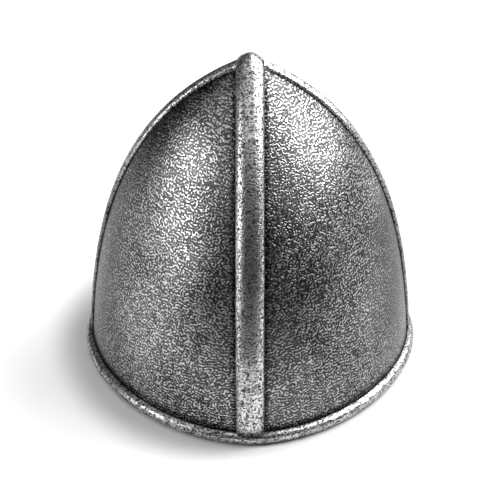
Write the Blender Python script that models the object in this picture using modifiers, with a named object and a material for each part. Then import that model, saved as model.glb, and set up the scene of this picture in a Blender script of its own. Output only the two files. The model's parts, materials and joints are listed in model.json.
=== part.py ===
"""Pointed open helmet: four quarter plates under a fore-and-aft comb and two side ribs,
a base edge rolled over a wire, and inside it a steel brow band, a leather liner band,
eight padded gores with a crown pad, and a two-piece buckled chin strap.

Frame: +Z up, origin on the surface it stands on, under the apex. The wearer faces -Y,
so +X is the wearer's left. Lengths are in metres.
"""
import math

import bmesh
import bpy
from mathutils import Matrix, Vector

MM = 0.001

# --- outside of the shell
HALF_W = 107.5 * MM          # outer half width over the base roll
HALF_L = 123.6 * MM          # outer half length over the base roll
PLAN_POWER = 1.82            # plan outline: a superellipse, slightly pointed fore and aft
ROLL_R = 4.2 * MM            # outer radius of the rolled edge
ROLL_T = 1.1 * MM            # sheet thickness of the roll
WIRE_R = 1.9 * MM            # wire inside the roll
FLAT_ANGLE = 13.0            # half angle of the flat worn on the roll's underside
DOME_INSET = 0.8 * MM        # plate's outer face, inside the roll's centre line
DOME_Z0 = 6.6 * MM           # lower edge of the plates
DOME_TOP = 209.0 * MM        # apex of the plates
# Bezier handles of the meridians: share of the half width, of the half length, of the height
PROFILE = ((1.0, 1.0, 0.0), (0.972, 0.970, 0.407), (0.810, 0.532, 0.832), (0.0, 0.0, 1.0))
TOP_POWER = 1.5              # plan outline at the apex, nearer a lozenge
PLATE_T = 1.6 * MM
SEAM = 0.2 * MM              # half of the gap between neighbouring plates
GAP = 0.3 * MM

# --- ribs
COMB_HALF_W = 9.2 * MM
COMB_H, COMB_TOP_H = 6.0 * MM, 4.2 * MM      # at the base and at the apex
SIDE_HALF_W = 4.5 * MM
SIDE_H, SIDE_TOP_H = 1.0 * MM, 2.0 * MM
SIDE_EDGE = 0.4 * MM         # square edge under the side rib's half round
RIB_WALL = 1.5 * MM

# --- liner
BAND_LOW, BAND_HIGH = 9.5 * MM, 31.0 * MM
BROW_OUT, BROW_T = 1.95 * MM, 1.35 * MM
LEATHER_OUT, LEATHER_T = 3.6 * MM, 2.5 * MM
RIVET_Z = 16.0 * MM
RIVETS = 8
GORES = 8
GORE_T = 8.0 * MM
GORE_A, GORE_B = 89.2 * MM, 104.8 * MM
GORE_Z0, GORE_Z1, GORE_RISE = 23.0 * MM, 31.0 * MM, 125.0 * MM
CROWN_R = 20.0 * MM

# --- chin strap
PIN_X, PIN_Z, PIN_R = 87.4 * MM, 12.5 * MM, 1.2 * MM
STRAP_W, STRAP_T = 18.0 * MM, 2.2 * MM
SKEW = math.radians(10.0)    # how far each strap lies off square, so that they pass each other
RIGHT_LENGTH = 158.0 * MM
LEFT_LENGTH = 60.0 * MM
BAR_Z, BAR_R = 4.1 * MM, 1.4 * MM
BUCKLE_L, BUCKLE_HALF_W = 21.0 * MM, 13.0 * MM
BUCKLE_TILT = math.radians(-6.0)

PHI = 10                     # facets in each quarter of the plan

for obj in list(bpy.data.objects):
    bpy.data.objects.remove(obj)
HELMET = bpy.data.collections.new("knight_helmet")
CUTTERS = bpy.data.collections.new("cutters")
for made in (HELMET, CUTTERS):
    bpy.context.scene.collection.children.link(made)


def material(name, colour, roughness, metallic):
    mat = bpy.data.materials.new(name)
    mat.use_nodes = True
    shader = mat.node_tree.nodes["Principled BSDF"]
    shader.inputs["Base Color"].default_value = (*colour, 1.0)
    shader.inputs["Roughness"].default_value = roughness
    shader.inputs["Metallic"].default_value = metallic
    return mat


STEEL = material("shell_steel", (0.34, 0.34, 0.35), 0.42, 1.0)
RIB_STEEL = material("rib_steel", (0.46, 0.46, 0.47), 0.36, 1.0)
BAND_STEEL = material("band_steel", (0.30, 0.30, 0.31), 0.50, 1.0)
LEATHER = material("strap_leather", (0.16, 0.085, 0.045), 0.62, 0.0)
LINER_LEATHER = material("liner_leather", (0.24, 0.14, 0.08), 0.66, 0.0)
LINEN = material("liner_linen", (0.55, 0.49, 0.38), 0.90, 0.0)
BRASS = material("strap_brass", (0.55, 0.42, 0.20), 0.35, 1.0)


def add(name, mesh, mat, smooth=True, collection=HELMET):
    mesh.materials.append(mat)
    if smooth:
        mesh.shade_smooth()
        mesh.set_sharp_from_angle(angle=math.radians(35))
    obj = bpy.data.objects.new(name, mesh)
    collection.objects.link(obj)
    return obj


def to_mesh(bm, name):
    mesh = bpy.data.meshes.new(name)
    bmesh.ops.recalc_face_normals(bm, faces=bm.faces)
    bm.to_mesh(mesh)
    bm.free()
    return mesh


# ---------------------------------------------------------------- shape rules
def profile(s):
    """(half width share, half length share, height share) of the dome's meridians, a cubic Bezier."""
    k = [(1 - s) ** 3, 3 * s * (1 - s) ** 2, 3 * s * s * (1 - s), s**3]
    return tuple(sum(w * p[i] for w, p in zip(k, PROFILE)) for i in (0, 1, 2))


def height(s):
    return DOME_Z0 + profile(s)[2] * (DOME_TOP - DOME_Z0)


def s_at_height(z):
    low, high = -0.2, 1.0
    for _ in range(50):
        mid = (low + high) / 2
        low, high = (mid, high) if height(mid) < z else (low, mid)
    return (low + high) / 2


def power_at(s):
    """The plan outline's power, which falls from the base to the apex."""
    return PLAN_POWER + (TOP_POWER - PLAN_POWER) * min(max(profile(s)[2], 0.0), 1.0)


def plan(phi, a, b, power=PLAN_POWER):
    """Point of the plan outline with half axes a, b."""
    c, s = math.cos(phi), math.sin(phi)
    return (
        a * math.copysign(abs(c) ** (2 / power), c),
        b * math.copysign(abs(s) ** (2 / power), s),
    )


ROLL_A, ROLL_B = HALF_W - ROLL_R, HALF_L - ROLL_R
DOME_A, DOME_B = ROLL_A - DOME_INSET, ROLL_B - DOME_INSET
ROLL_Z = ROLL_R * math.cos(math.radians(FLAT_ANGLE))


def plan_normal(phi, a, b):
    """Unit normal of the plan outline, pointing out."""
    c, s = math.cos(phi), math.sin(phi)
    power = 2 - 2 / PLAN_POWER
    n = Vector((
        math.copysign(abs(c) ** power, c) / a,
        math.copysign(abs(s) ** power, s) / b,
        0.0,
    ))
    return n.normalized()


def level(x, y, s):
    """0 on the dome's plan outline at meridian parameter s, above 0 outside it."""
    a, b, _ = profile(s)
    power = power_at(s)
    return (abs(x) / (DOME_A * a)) ** power + (abs(y) / (DOME_B * b)) ** power - 1


def dome(phi, s, inward=0.0):
    """Point of the dome at plan angle phi and meridian parameter s, moved in along the surface normal."""
    a, b, _ = profile(s)
    a, b, power = DOME_A * a, DOME_B * b, power_at(s)
    x, y = plan(phi, a, b, power)
    rise = (level(x, y, s + 0.002) - level(x, y, s - 0.002)) / (height(s + 0.002) - height(s - 0.002))
    n = Vector((
        math.copysign(power / a * (abs(x) / a) ** (power - 1), x),
        math.copysign(power / b * (abs(y) / b) ** (power - 1), y),
        rise,
    )).normalized()
    return Vector((x, y, height(s))) - n * inward


def outside(x, y, z):
    """Above 0 where the point lies outside the dome's outer face."""
    if z >= DOME_TOP:
        return 1.0
    s = s_at_height(z)
    return 1.0 if profile(s)[0] <= 1e-6 else level(x, y, s)


def seat(start, direction):
    """Distance along direction from start, within 12 mm each way, to the dome's outer face."""
    low, high = -12 * MM, 12 * MM
    for _ in range(40):
        mid = (low + high) / 2
        p = start + direction * mid
        if outside(p.x, p.y, p.z) > 0:
            high = mid
        else:
            low = mid
    return (low + high) / 2


def angles(count=4 * PHI):
    return [2 * math.pi * i / count for i in range(count)]


# ---------------------------------------------------------------- builders
def loft(name, sections, mat, closed=False):
    """A solid through equal section loops. Used where the section rides on the dome's own curve."""
    bm = bmesh.new()
    rings = [[bm.verts.new(p) for p in section] for section in sections]
    pairs = list(zip(rings, rings[1:])) + ([(rings[-1], rings[0])] if closed else [])
    for a, b in pairs:
        for i in range(len(a)):
            j = (i + 1) % len(a)
            bm.faces.new((a[i], a[j], b[j], b[i]))
    if not closed:
        bm.faces.new(rings[0])
        bm.faces.new(rings[-1])
    return add(name, to_mesh(bm, name), mat)


def sheet(name, columns, rows, rule, thickness, mat, wrap=False, offset=-1.0):
    """A grid laid on rule(u, v) with Solidify. wrap closes it round in u."""
    bm = bmesh.new()
    bmesh.ops.create_grid(bm, x_segments=columns, y_segments=rows, size=0.5)
    for v in bm.verts:
        v.co = rule(v.co.x + 0.5, v.co.y + 0.5)
    if wrap:
        bmesh.ops.remove_doubles(bm, verts=bm.verts, dist=1e-6)
    bm.normal_update()
    outward = sum(f.normal.dot(f.calc_center_median() - Vector((0, 0, 40 * MM))) for f in bm.faces)
    if outward < 0:
        bmesh.ops.reverse_faces(bm, faces=bm.faces)
    mesh = bpy.data.meshes.new(name)
    bm.to_mesh(mesh)
    bm.free()
    obj = add(name, mesh, mat)
    solid = obj.modifiers.new("thickness", "SOLIDIFY")
    solid.thickness = thickness
    solid.offset = offset
    solid.use_even_offset = True
    return obj


def turned(points, steps=8):
    """bmesh of a profile of (radius, height) turned about Z; it starts and ends on the axis."""
    bm = bmesh.new()
    verts = [bm.verts.new((r, 0, z)) for r, z in points]
    edges = [bm.edges.new(pair) for pair in zip(verts, verts[1:])]
    bmesh.ops.spin(
        bm, geom=verts + edges, cent=(0, 0, 0), axis=(0, 0, 1),
        angle=2 * math.pi, steps=steps, use_merge=True,
    )
    bmesh.ops.remove_doubles(bm, verts=bm.verts, dist=1e-6)
    return bm


def joined(bm, name, places):
    """One mesh of equal shapes, one at each matrix."""
    whole = bmesh.new()
    mesh = to_mesh(bm, name + "_one")
    for place in places:
        before = set(whole.verts)
        whole.from_mesh(mesh)
        bmesh.ops.transform(whole, matrix=place, verts=[v for v in whole.verts if v not in before])
    bpy.data.meshes.remove(mesh)
    return to_mesh(whole, name)


def copies(name, bm, places, mat):
    """An object at each matrix, all with the same mesh. They are numbered where there is more than one."""
    mesh = to_mesh(bm, name)
    mesh.materials.append(mat)
    mesh.shade_smooth()
    mesh.set_sharp_from_angle(angle=math.radians(35))
    for number, place in enumerate(places, 1):
        obj = bpy.data.objects.new(name if len(places) == 1 else f"{name}_{number}", mesh)
        obj.matrix_world = place
        HELMET.objects.link(obj)


def cutter(name, bm, places):
    obj = add(name, joined(bm, name, places), BAND_STEEL, collection=CUTTERS)
    obj.hide_render = True
    obj.display_type = "WIRE"
    return obj


def cut(obj, tool):
    boolean = obj.modifiers.new("cut_" + tool.name, "BOOLEAN")
    boolean.operation = "DIFFERENCE"
    boolean.solver = "EXACT"
    boolean.object = tool


def extruded(name, loops, half_depth):
    """Mesh of a flat outline with holes, extruded half_depth each way. Local x, y are the outline's, z the depth."""
    curve = bpy.data.curves.new(name, "CURVE")
    curve.dimensions = "2D"
    curve.fill_mode = "BOTH"
    curve.extrude = half_depth
    for loop in loops:
        spline = curve.splines.new("POLY")
        spline.points.add(len(loop) - 1)
        for point, (x, y) in zip(spline.points, loop):
            point.co = (x, y, 0, 1)
        spline.use_cyclic_u = True
    obj = bpy.data.objects.new(name, curve)
    HELMET.objects.link(obj)
    bpy.context.view_layer.update()
    evaluated = obj.evaluated_get(bpy.context.evaluated_depsgraph_get())
    mesh = bpy.data.meshes.new_from_object(evaluated)
    bpy.data.objects.remove(obj)
    bm = bmesh.new()
    bm.from_mesh(mesh)
    bmesh.ops.remove_doubles(bm, verts=bm.verts, dist=1e-6)
    bpy.data.meshes.remove(mesh)
    return bm


def tube(name, points, radius, mat, resolution=2, cyclic=True):
    curve = bpy.data.curves.new(name, "CURVE")
    curve.dimensions = "3D"
    curve.bevel_depth = radius
    curve.bevel_resolution = resolution
    curve.use_fill_caps = True
    spline = curve.splines.new("POLY")
    spline.points.add(len(points) - 1)
    for point, co in zip(spline.points, points):
        point.co = (*co, 1)
    spline.use_cyclic_u = cyclic
    curve.materials.append(mat)
    obj = bpy.data.objects.new(name, curve)
    HELMET.objects.link(obj)
    return obj


# ---------------------------------------------------------------- quarter plates
S_TOP = 1.0
while profile(S_TOP)[0] * DOME_A < 4.5 * MM:
    S_TOP -= 0.002


def quarter_plate(name, start, rows=14):
    """Quarter plate whose plan angles run from start to start + 90 degrees: an outer and an inner skin, closed round the edge."""
    middle = start + math.pi / 4
    shift = Vector((math.copysign(SEAM, math.cos(middle)), math.copysign(SEAM, math.sin(middle)), 0))
    bm = bmesh.new()
    skins = []
    for depth in (0.0, PLATE_T):
        skins.append([
            [
                bm.verts.new(dome(start + math.pi / 2 * i / PHI, S_TOP * (1 - (1 - j / rows) ** 1.15), depth) + shift)
                for i in range(PHI + 1)
            ]
            for j in range(rows + 1)
        ])
    for skin in skins:
        for low, high in zip(skin, skin[1:]):
            for i in range(PHI):
                bm.faces.new((low[i], low[i + 1], high[i + 1], high[i]))
    outer, inner = skins
    for a, b in ((outer[0], inner[0]), (outer[-1], inner[-1])):
        for i in range(PHI):
            bm.faces.new((a[i], a[i + 1], b[i + 1], b[i]))
    for i in (0, PHI):
        for j in range(rows):
            bm.faces.new((outer[j][i], outer[j + 1][i], inner[j + 1][i], inner[j][i]))
    return add(name, to_mesh(bm, name), STEEL)


for plate, start in (
    ("plate_front_left", 1.5 * math.pi),
    ("plate_front_right", math.pi),
    ("plate_rear_left", 0.0),
    ("plate_rear_right", 0.5 * math.pi),
):
    quarter_plate(plate, start)


# ---------------------------------------------------------------- ribs
def meridian(side, s):
    """(centre, outward normal) on the dome's meridian. side is a unit vector in plan."""
    which, reach = (0, DOME_A) if abs(side.x) > 0.5 else (1, DOME_B)
    at = side * (profile(s)[which] * reach) + Vector((0, 0, height(s)))
    tangent = side * ((profile(s + 0.002)[which] - profile(s - 0.002)[which]) * reach)
    tangent.z = height(s + 0.002) - height(s - 0.002)
    tangent.normalize()
    return at, side * tangent.z - Vector((0, 0, side.dot(tangent)))


def rib_section(at, normal, across, half_width, height, wall, steps=6):
    """Channel section: a half round outside and inside, its feet standing on the plates."""
    outer, inner = [], []
    for i in range(steps + 1):
        angle = math.pi * i / steps
        for ring, w, h in (
            (outer, half_width, height),
            (inner, half_width - wall, height - wall),
        ):
            side = across * (w * math.cos(angle))
            foot = seat(at + side, normal) + GAP + 0.35 * MM
            ring.append(at + side + normal * (foot + h * math.sin(angle)))
    return outer + inner[::-1]


def bar_section(at, normal, across, half_width, height, steps=6):
    """Half round bar with a square edge, its underside lying along the plates."""
    top, under = [], []
    for i in range(steps + 1):
        angle = math.pi * i / steps
        side = across * (half_width * math.cos(angle))
        foot = seat(at + side, normal) + GAP + 0.15 * MM
        top.append(at + side + normal * (foot + SIDE_EDGE + height * math.sin(angle)))
        under.append(at + side + normal * foot)
    return top + under[::-1]


def stations(low, high, count):
    return [low + (high - low) * i / count for i in range(count + 1)]


RIB_LOW = s_at_height(2 * ROLL_R + 0.6 * MM)
APEX = 0.975                 # beyond this the comb turns over the apex
front, rear, across = Vector((0, -1, 0)), Vector((0, 1, 0)), Vector((1, 0, 0))
sections = []
for side, order in ((front, 1), (rear, -1)):
    run = []
    for s in stations(RIB_LOW, APEX, 16):
        at, normal = meridian(side, s)
        tall = COMB_H + (COMB_TOP_H - COMB_H) * profile(s)[2]
        run.append(rib_section(at, normal, across, COMB_HALF_W, tall, RIB_WALL))
    if order == 1:
        sections += run
        top = meridian(side, APEX)
        for k in (-0.5, 0.0, 0.5):
            # the crest is rounded off over the point of the plates
            lean = Vector((0, math.sin(top[1].y * -k), 1)).normalized()
            tall = COMB_TOP_H - 0.7 * MM * (1 - abs(k)) ** 2
            at = Vector((0, top[0].y * -k, top[0].z))
            sections.append(rib_section(at, lean, across, COMB_HALF_W, tall, RIB_WALL))
    else:
        sections += run[::-1]
comb = loft("comb_rib", sections, RIB_STEEL)

# clearance body round the comb, which trims the side ribs
trim_sections = []
for y in stations(-60 * MM, 60 * MM, 12):
    near = max(-DOME_B * 0.999, min(DOME_B * 0.999, y))
    low, high = 0.0, 1.0
    for _ in range(40):
        mid = (low + high) / 2
        low, high = (mid, high) if profile(mid)[1] * DOME_B > abs(near) else (low, mid)
    z = height(low)
    w, h = COMB_HALF_W + GAP, COMB_H + 4 * MM
    trim_sections.append([
        Vector((-w, y, z - 30 * MM)), Vector((w, y, z - 30 * MM)),
        Vector((w, y, z + h)), Vector((-w, y, z + h)),
    ])
trim = loft("comb_clearance", trim_sections, RIB_STEEL)
HELMET.objects.unlink(trim)
CUTTERS.objects.link(trim)
trim.hide_render = True
trim.display_type = "WIRE"

for rib, side in (("side_rib_left", Vector((1, 0, 0))), ("side_rib_right", Vector((-1, 0, 0)))):
    run = []
    for s in stations(RIB_LOW, 0.985, 17):
        at, normal = meridian(side, s)
        tall = SIDE_H + (SIDE_TOP_H - SIDE_H) * profile(s)[2]
        run.append(bar_section(at, normal, Vector((0, 1, 0)), SIDE_HALF_W, tall))
    obj = loft(rib, run, RIB_STEEL)
    cut(obj, trim)

# ---------------------------------------------------------------- rolled edge and its wire
ROLL_ANGLES = [152, 185, 222, 270 - FLAT_ANGLE, 270 + FLAT_ANGLE, 316, 350, 385, 420, 455]
roll_sections = []
for phi in angles():
    x, y = plan(phi, ROLL_A, ROLL_B)
    n = plan_normal(phi, ROLL_A, ROLL_B)
    centre = Vector((x, y, ROLL_Z))
    ring = []
    for radius, order in ((ROLL_R, 1), (ROLL_R - ROLL_T, -1)):
        for degrees in ROLL_ANGLES[::order]:
            a = math.radians(degrees)
            ring.append(centre + n * (radius * math.cos(a)) + Vector((0, 0, radius * math.sin(a))))
    roll_sections.append(ring)
loft("rim_roll", roll_sections, RIB_STEEL, closed=True)
tube(
    "rim_wire",
    [(*plan(phi, ROLL_A, ROLL_B), ROLL_Z - 0.3 * MM) for phi in angles()],
    WIRE_R, BAND_STEEL,
)


# ---------------------------------------------------------------- brow band, liner band, rivets
def band(inward):
    def rule(u, v):
        z = BAND_LOW + v * (BAND_HIGH - BAND_LOW)
        return dome(2 * math.pi * u, s_at_height(z), inward)

    return rule


brow = sheet("brow_band", 4 * PHI, 2, band(BROW_OUT), BROW_T, BAND_STEEL, wrap=True)
liner_band = sheet("liner_band", 4 * PHI, 2, band(LEATHER_OUT), LEATHER_T, LINER_LEATHER, wrap=True)


def facing(at, direction):
    """Matrix that puts a turned piece's +Z along direction, at a point."""
    return Matrix.Translation(at) @ direction.to_track_quat("Z", "Y").to_matrix().to_4x4()


rivet_places = []
for k in range(RIVETS):
    phi = 2 * math.pi * (k + 0.5) / RIVETS
    s = s_at_height(RIVET_Z)
    at = dome(phi, s, BROW_OUT)
    rivet_places.append(facing(at, (dome(phi, s, 10 * MM) - at).normalized()))
hanger_places = []
for sign in (1, -1):
    for y in (-8 * MM, 8 * MM):
        x = 0.0
        for _ in range(3):
            s = s_at_height(17 * MM)
            share = (abs(y) / (DOME_B * profile(s)[1])) ** power_at(s)
            x = DOME_A * profile(s)[0] * (1 - share) ** (1 / power_at(s)) - BROW_OUT
        hanger_places.append(facing(Vector((sign * x, y, 17 * MM)), Vector((-sign, 0, 0))))

SHANK = BROW_T + LEATHER_T + 0.3 * MM + 0.6 * MM
rivet = turned([
    (0, 0.25 * MM), (1.2 * MM, 0.25 * MM), (1.2 * MM, SHANK), (3.8 * MM, SHANK),
    (3.8 * MM, SHANK + 0.5 * MM), (2.6 * MM, SHANK + 1.5 * MM), (0, SHANK + 1.9 * MM),
])
copies("liner_rivet", rivet, rivet_places, BRASS)
hole = turned([(0, -1.2 * MM), (1.55 * MM, -1.2 * MM), (1.55 * MM, 6 * MM), (0, 6 * MM)])
holes = cutter("rivet_holes", hole, rivet_places + hanger_places)
cut(brow, holes)
cut(liner_band, holes)


# ---------------------------------------------------------------- padded gores and crown pad
def gore_mid(phi, climb):
    """Mid surface of the padding: climb 0 at the hem, 1 at the crown ring."""
    if climb < 0.12:
        share, z = 1.0, GORE_Z0 + (GORE_Z1 - GORE_Z0) * climb / 0.12
    else:
        turn = math.radians(77.0) * (climb - 0.12) / 0.88
        share, z = math.cos(turn), GORE_Z1 + GORE_RISE * math.sin(turn)
    x, y = plan(phi, GORE_A * share, GORE_B * share)
    return Vector((x, y, z))


for k in range(GORES):
    middle = 2 * math.pi * (k + 0.5) / GORES

    def gore(u, v, middle=middle):
        near = gore_mid(middle, v)
        half = math.pi / GORES - math.asin(min(0.9, 1.1 * MM / math.hypot(near.x, near.y)))
        return gore_mid(middle + (2 * u - 1) * half, v)

    sheet(f"liner_gore_{k + 1}", 4, 9, gore, GORE_T, LINEN, offset=0.0)

TOP = gore_mid(0, 1.0).z - GORE_T / 2
crown = turned([
    (0, TOP - 7.2 * MM), (16 * MM, TOP - 7.2 * MM), (22 * MM, TOP - 5.2 * MM),
    (24.5 * MM, TOP - 3.2 * MM), (22 * MM, TOP - 1.6 * MM), (0, TOP - 1.3 * MM),
], steps=20)
add("crown_pad", to_mesh(crown, "crown_pad"), LINEN)

# ---------------------------------------------------------------- strap hangers
for name, sign in (("left", 1), ("right", -1)):
    bm = bmesh.new()
    parts = [
        ((93.05, 0, 15.5), (1.5, 25.0, 12.0)),
        ((89.05, 11.75, 12.6), (8.1, 1.5, 6.2)),
        ((89.05, -11.75, 12.6), (8.1, 1.5, 6.2)),
    ]
    base = None
    for index, (centre, size) in enumerate(parts):
        bm = bmesh.new()
        bmesh.ops.create_cube(bm, size=1.0)
        for v in bm.verts:
            v.co = Vector([(c + p * d) * MM for c, p, d in zip(centre, v.co, size)])
            v.co.x *= sign
        piece = add(f"strap_hanger_{name}" if index == 0 else f"ear_{name}_{index}", to_mesh(bm, "ear"), BAND_STEEL, smooth=False)
        if index == 0:
            base = piece
            continue
        HELMET.objects.unlink(piece)
        CUTTERS.objects.link(piece)
        piece.hide_render = True
        piece.display_type = "WIRE"
        union = base.modifiers.new("ear", "BOOLEAN")
        union.operation = "UNION"
        union.solver = "EXACT"
        union.object = piece
    pin_hole = cutter(
        f"pin_hole_{name}",
        turned([(0, -20 * MM), (PIN_R + GAP, -20 * MM), (PIN_R + GAP, 20 * MM), (0, 20 * MM)], steps=10),
        [facing(Vector((sign * PIN_X, 0, PIN_Z)), Vector((0, 1, 0)))],
    )
    cut(base, pin_hole)
    cut(base, cutter(
        f"hanger_holes_{name}",
        turned([(0, -2 * MM), (1.55 * MM, -2 * MM), (1.55 * MM, 14 * MM), (0, 14 * MM)]),
        [m for m in hanger_places if m.translation.x * sign > 0],
    ))
    pin = turned([
        (0, -14.6 * MM), (2.1 * MM, -14.6 * MM), (2.1 * MM, -12.9 * MM), (PIN_R, -12.9 * MM),
        (PIN_R, 12.9 * MM), (2.1 * MM, 12.9 * MM), (2.1 * MM, 14.6 * MM), (0, 14.6 * MM),
    ], steps=10)
    copies(f"hanger_pin_{name}", pin, [facing(Vector((sign * PIN_X, 0, PIN_Z)), Vector((0, 1, 0)))], BRASS)

hanger_rivet = turned([
    (0, 0.25 * MM), (1.2 * MM, 0.25 * MM), (1.2 * MM, 7.0 * MM),
    (2.9 * MM, 7.0 * MM), (2.0 * MM, 8.1 * MM), (0, 8.4 * MM),
])
HANGER_FACE = 92.3 * MM
seated = [
    Matrix.Translation(Vector((math.copysign(HANGER_FACE - GAP + 7.0 * MM, m.translation.x) - m.translation.x, 0, 0))) @ m
    for m in hanger_places
]
copies("hanger_rivet", hanger_rivet, seated, BRASS)


# ---------------------------------------------------------------- chin straps
def sideways(u):
    """How far the strap has drifted off square at distance u from its pin."""
    start = 8 * MM
    if u <= start:
        return 0.0
    if u < 28 * MM:
        return math.tan(SKEW) * (u - start) ** 2 / (2 * 20 * MM)
    return math.tan(SKEW) * (u - 18 * MM)


def circle(x, z, radius, count, first=0.0, last=360.0):
    step = (last - first) / count
    whole = abs(last - first) >= 360
    return [
        (x + radius * math.cos(math.radians(first + step * i)), z + radius * math.sin(math.radians(first + step * i)))
        for i in range(count if whole else count + 1)
    ]


def strap_mesh(name, length, sign, tail):
    """Leather strap folded round the hanger pin, then down to the floor and along it. tail is pointed or eye."""
    half = STRAP_T / 2
    floor = half + GAP
    upper = [(6 * MM, PIN_Z + 0.3 * MM), (24 * MM, 4.9 * MM), (30 * MM, floor + half + 0.6 * MM), (42 * MM, floor + half)]
    lower = [(42 * MM, floor - half), (30 * MM, floor - half), (20 * MM, floor - half + 0.8 * MM), (5.2 * MM, 7.9 * MM)]
    if tail == "eye":
        eye_r = BAR_R + GAP + 1.7 * MM
        end = circle(length, BAR_Z, eye_r, 7, 125, -125)
        outline_end = [(length - 9 * MM, floor + half + 1.4 * MM), *end, (length - 9 * MM, floor - half)]
    else:
        along = [length * 0.5, length - 14 * MM, length - 5 * MM, length]
        outline_end = [(u, floor + half) for u in along] + [(u, floor - half) for u in along[::-1]]
    root = circle(0, PIN_Z, PIN_R + GAP + STRAP_T, 9, 300, 60)
    outline = upper + outline_end + lower + root
    loops = [outline, circle(0, PIN_Z, PIN_R + GAP, 10)]
    if tail == "eye":
        loops.append(circle(length, BAR_Z, BAR_R + GAP, 10))
    bm = extruded(name, loops, STRAP_W / 2)
    for v in bm.verts:
        u, z, across = v.co
        width = 1.0
        if tail == "pointed" and u > length - 14.5 * MM:
            width = 1.0 if u < length - 10 * MM else (0.82 if u < length - 2 * MM else 0.3)
        drift = sideways(u) * -1 if sign < 0 else sideways(u)
        if tail == "eye" and u > length - 8.9 * MM:
            # the eye stays square to the strap's own direction
            drift = sideways(length) + (u - length) * math.tan(SKEW)
            u = u - across * math.sin(SKEW)
            across = across * math.cos(SKEW)
        v.co = Vector((sign * (PIN_X - u), across * width + drift, z))
    return to_mesh(bm, name)


strap_right = add("chin_strap_right", strap_mesh("chin_strap_right", RIGHT_LENGTH, -1, "pointed"), LEATHER)
strap_left = add("chin_strap_left", strap_mesh("chin_strap_left", LEFT_LENGTH, 1, "eye"), LEATHER)

strap_hole = turned([(0, -5 * MM), (1.7 * MM, -5 * MM), (1.7 * MM, 9 * MM), (0, 9 * MM)])
cut(strap_right, cutter("strap_holes", strap_hole, [
    Matrix.Translation(Vector((-(PIN_X - u * MM), -sideways(u * MM), 1.4 * MM))) for u in (92, 104, 116, 128, 140)
]))
fold_rivet = turned([
    (0, -3.8 * MM), (2.2 * MM, -3.5 * MM), (3.2 * MM, -2.85 * MM), (1.2 * MM, -2.85 * MM),
    (1.2 * MM, 2.85 * MM), (3.2 * MM, 2.85 * MM), (2.2 * MM, 3.5 * MM), (0, 3.8 * MM),
])
fold_hole = turned([(0, -8 * MM), (1.5 * MM, -8 * MM), (1.5 * MM, 8 * MM), (0, 8 * MM)])
for name, sign, strap in (("left", 1, strap_left), ("right", -1, strap_right)):
    slope = Vector((-sign * 19, 0, -8.1)).normalized()
    up = Vector((-slope.z * -sign, 0, slope.x * -sign))
    up = up if up.z > 0 else -up
    at = Vector((sign * (PIN_X - 13 * MM), sign * sideways(13 * MM), 7.03 * MM))
    cut(strap, cutter(f"fold_hole_{name}", fold_hole.copy(), [facing(at, up)]))
    copies(f"strap_rivet_{name}", fold_rivet.copy(), [facing(at, up)], BRASS)

# ---------------------------------------------------------------- buckle and prong
bar_at = Vector((PIN_X - LEFT_LENGTH, sideways(LEFT_LENGTH), BAR_Z))
BUCKLE = (
    Matrix.Translation(bar_at)
    @ Matrix.Rotation(math.pi - SKEW, 4, "Z")
    @ Matrix.Rotation(-BUCKLE_TILT, 4, "Y")
)
corner = 3.5 * MM
path = []
for cx, cy, first in (
    (corner * 0.4, -BUCKLE_HALF_W + corner * 0.4, 180), (BUCKLE_L - corner, -BUCKLE_HALF_W + corner, 270),
    (BUCKLE_L - corner, BUCKLE_HALF_W - corner, 0), (corner * 0.4, BUCKLE_HALF_W - corner * 0.4, 90),
):
    radius = corner * 0.4 if cx < 5 * MM else corner
    for i in range(4):
        a = math.radians(first + 30 * i)
        path.append(BUCKLE @ Vector((cx + radius * math.cos(a), cy + radius * math.sin(a), 0)))
tube("buckle_frame", [tuple(p) for p in path], BAR_R, BRASS)

slot = bmesh.new()
bmesh.ops.create_cube(slot, size=1.0)
bmesh.ops.transform(slot, matrix=BUCKLE @ Matrix.Diagonal((15 * MM, 5.6 * MM, 14 * MM, 1)), verts=slot.verts)
cut(strap_left, cutter("prong_slot", slot, [Matrix.Identity(4)]))

reach, top = BUCKLE_L + 2.4 * MM, BAR_R + GAP
arm = [(1.2 * MM, 3.0 * MM), *circle(0, 0, BAR_R + GAP + 1.4 * MM, 9, 90, 345), (5.0 * MM, top - 0.4 * MM),
       (8 * MM, top), (reach, top), (reach + 0.6 * MM, top + 0.8 * MM), (reach, top + 1.5 * MM), (6 * MM, top + 1.9 * MM)]
prong = extruded("buckle_prong", [arm, circle(0, 0, BAR_R + GAP, 10)], 1.7 * MM)
# the outline's own y is the buckle's up, and its depth runs along the bar
bmesh.ops.transform(prong, matrix=BUCKLE @ Matrix.Rotation(math.pi / 2, 4, "X"), verts=prong.verts)
add("buckle_prong", to_mesh(prong, "buckle_prong"), BRASS)
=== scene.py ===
import bisect
import json
import math

import bmesh
import bpy
import numpy as np
from mathutils import Matrix, Vector, noise


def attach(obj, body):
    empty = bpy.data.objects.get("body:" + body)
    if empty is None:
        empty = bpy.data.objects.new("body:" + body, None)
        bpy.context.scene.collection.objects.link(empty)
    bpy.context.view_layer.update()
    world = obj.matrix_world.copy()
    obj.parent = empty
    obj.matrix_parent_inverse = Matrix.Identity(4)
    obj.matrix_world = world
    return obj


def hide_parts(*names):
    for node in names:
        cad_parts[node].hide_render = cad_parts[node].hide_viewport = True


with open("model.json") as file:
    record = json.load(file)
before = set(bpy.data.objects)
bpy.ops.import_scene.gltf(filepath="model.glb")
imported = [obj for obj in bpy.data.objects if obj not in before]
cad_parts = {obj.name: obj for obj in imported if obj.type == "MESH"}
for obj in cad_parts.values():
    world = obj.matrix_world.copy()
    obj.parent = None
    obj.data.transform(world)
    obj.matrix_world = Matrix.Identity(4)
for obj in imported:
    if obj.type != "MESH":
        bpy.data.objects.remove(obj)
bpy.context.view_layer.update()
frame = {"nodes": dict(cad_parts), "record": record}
NODES = frame["nodes"]

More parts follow.
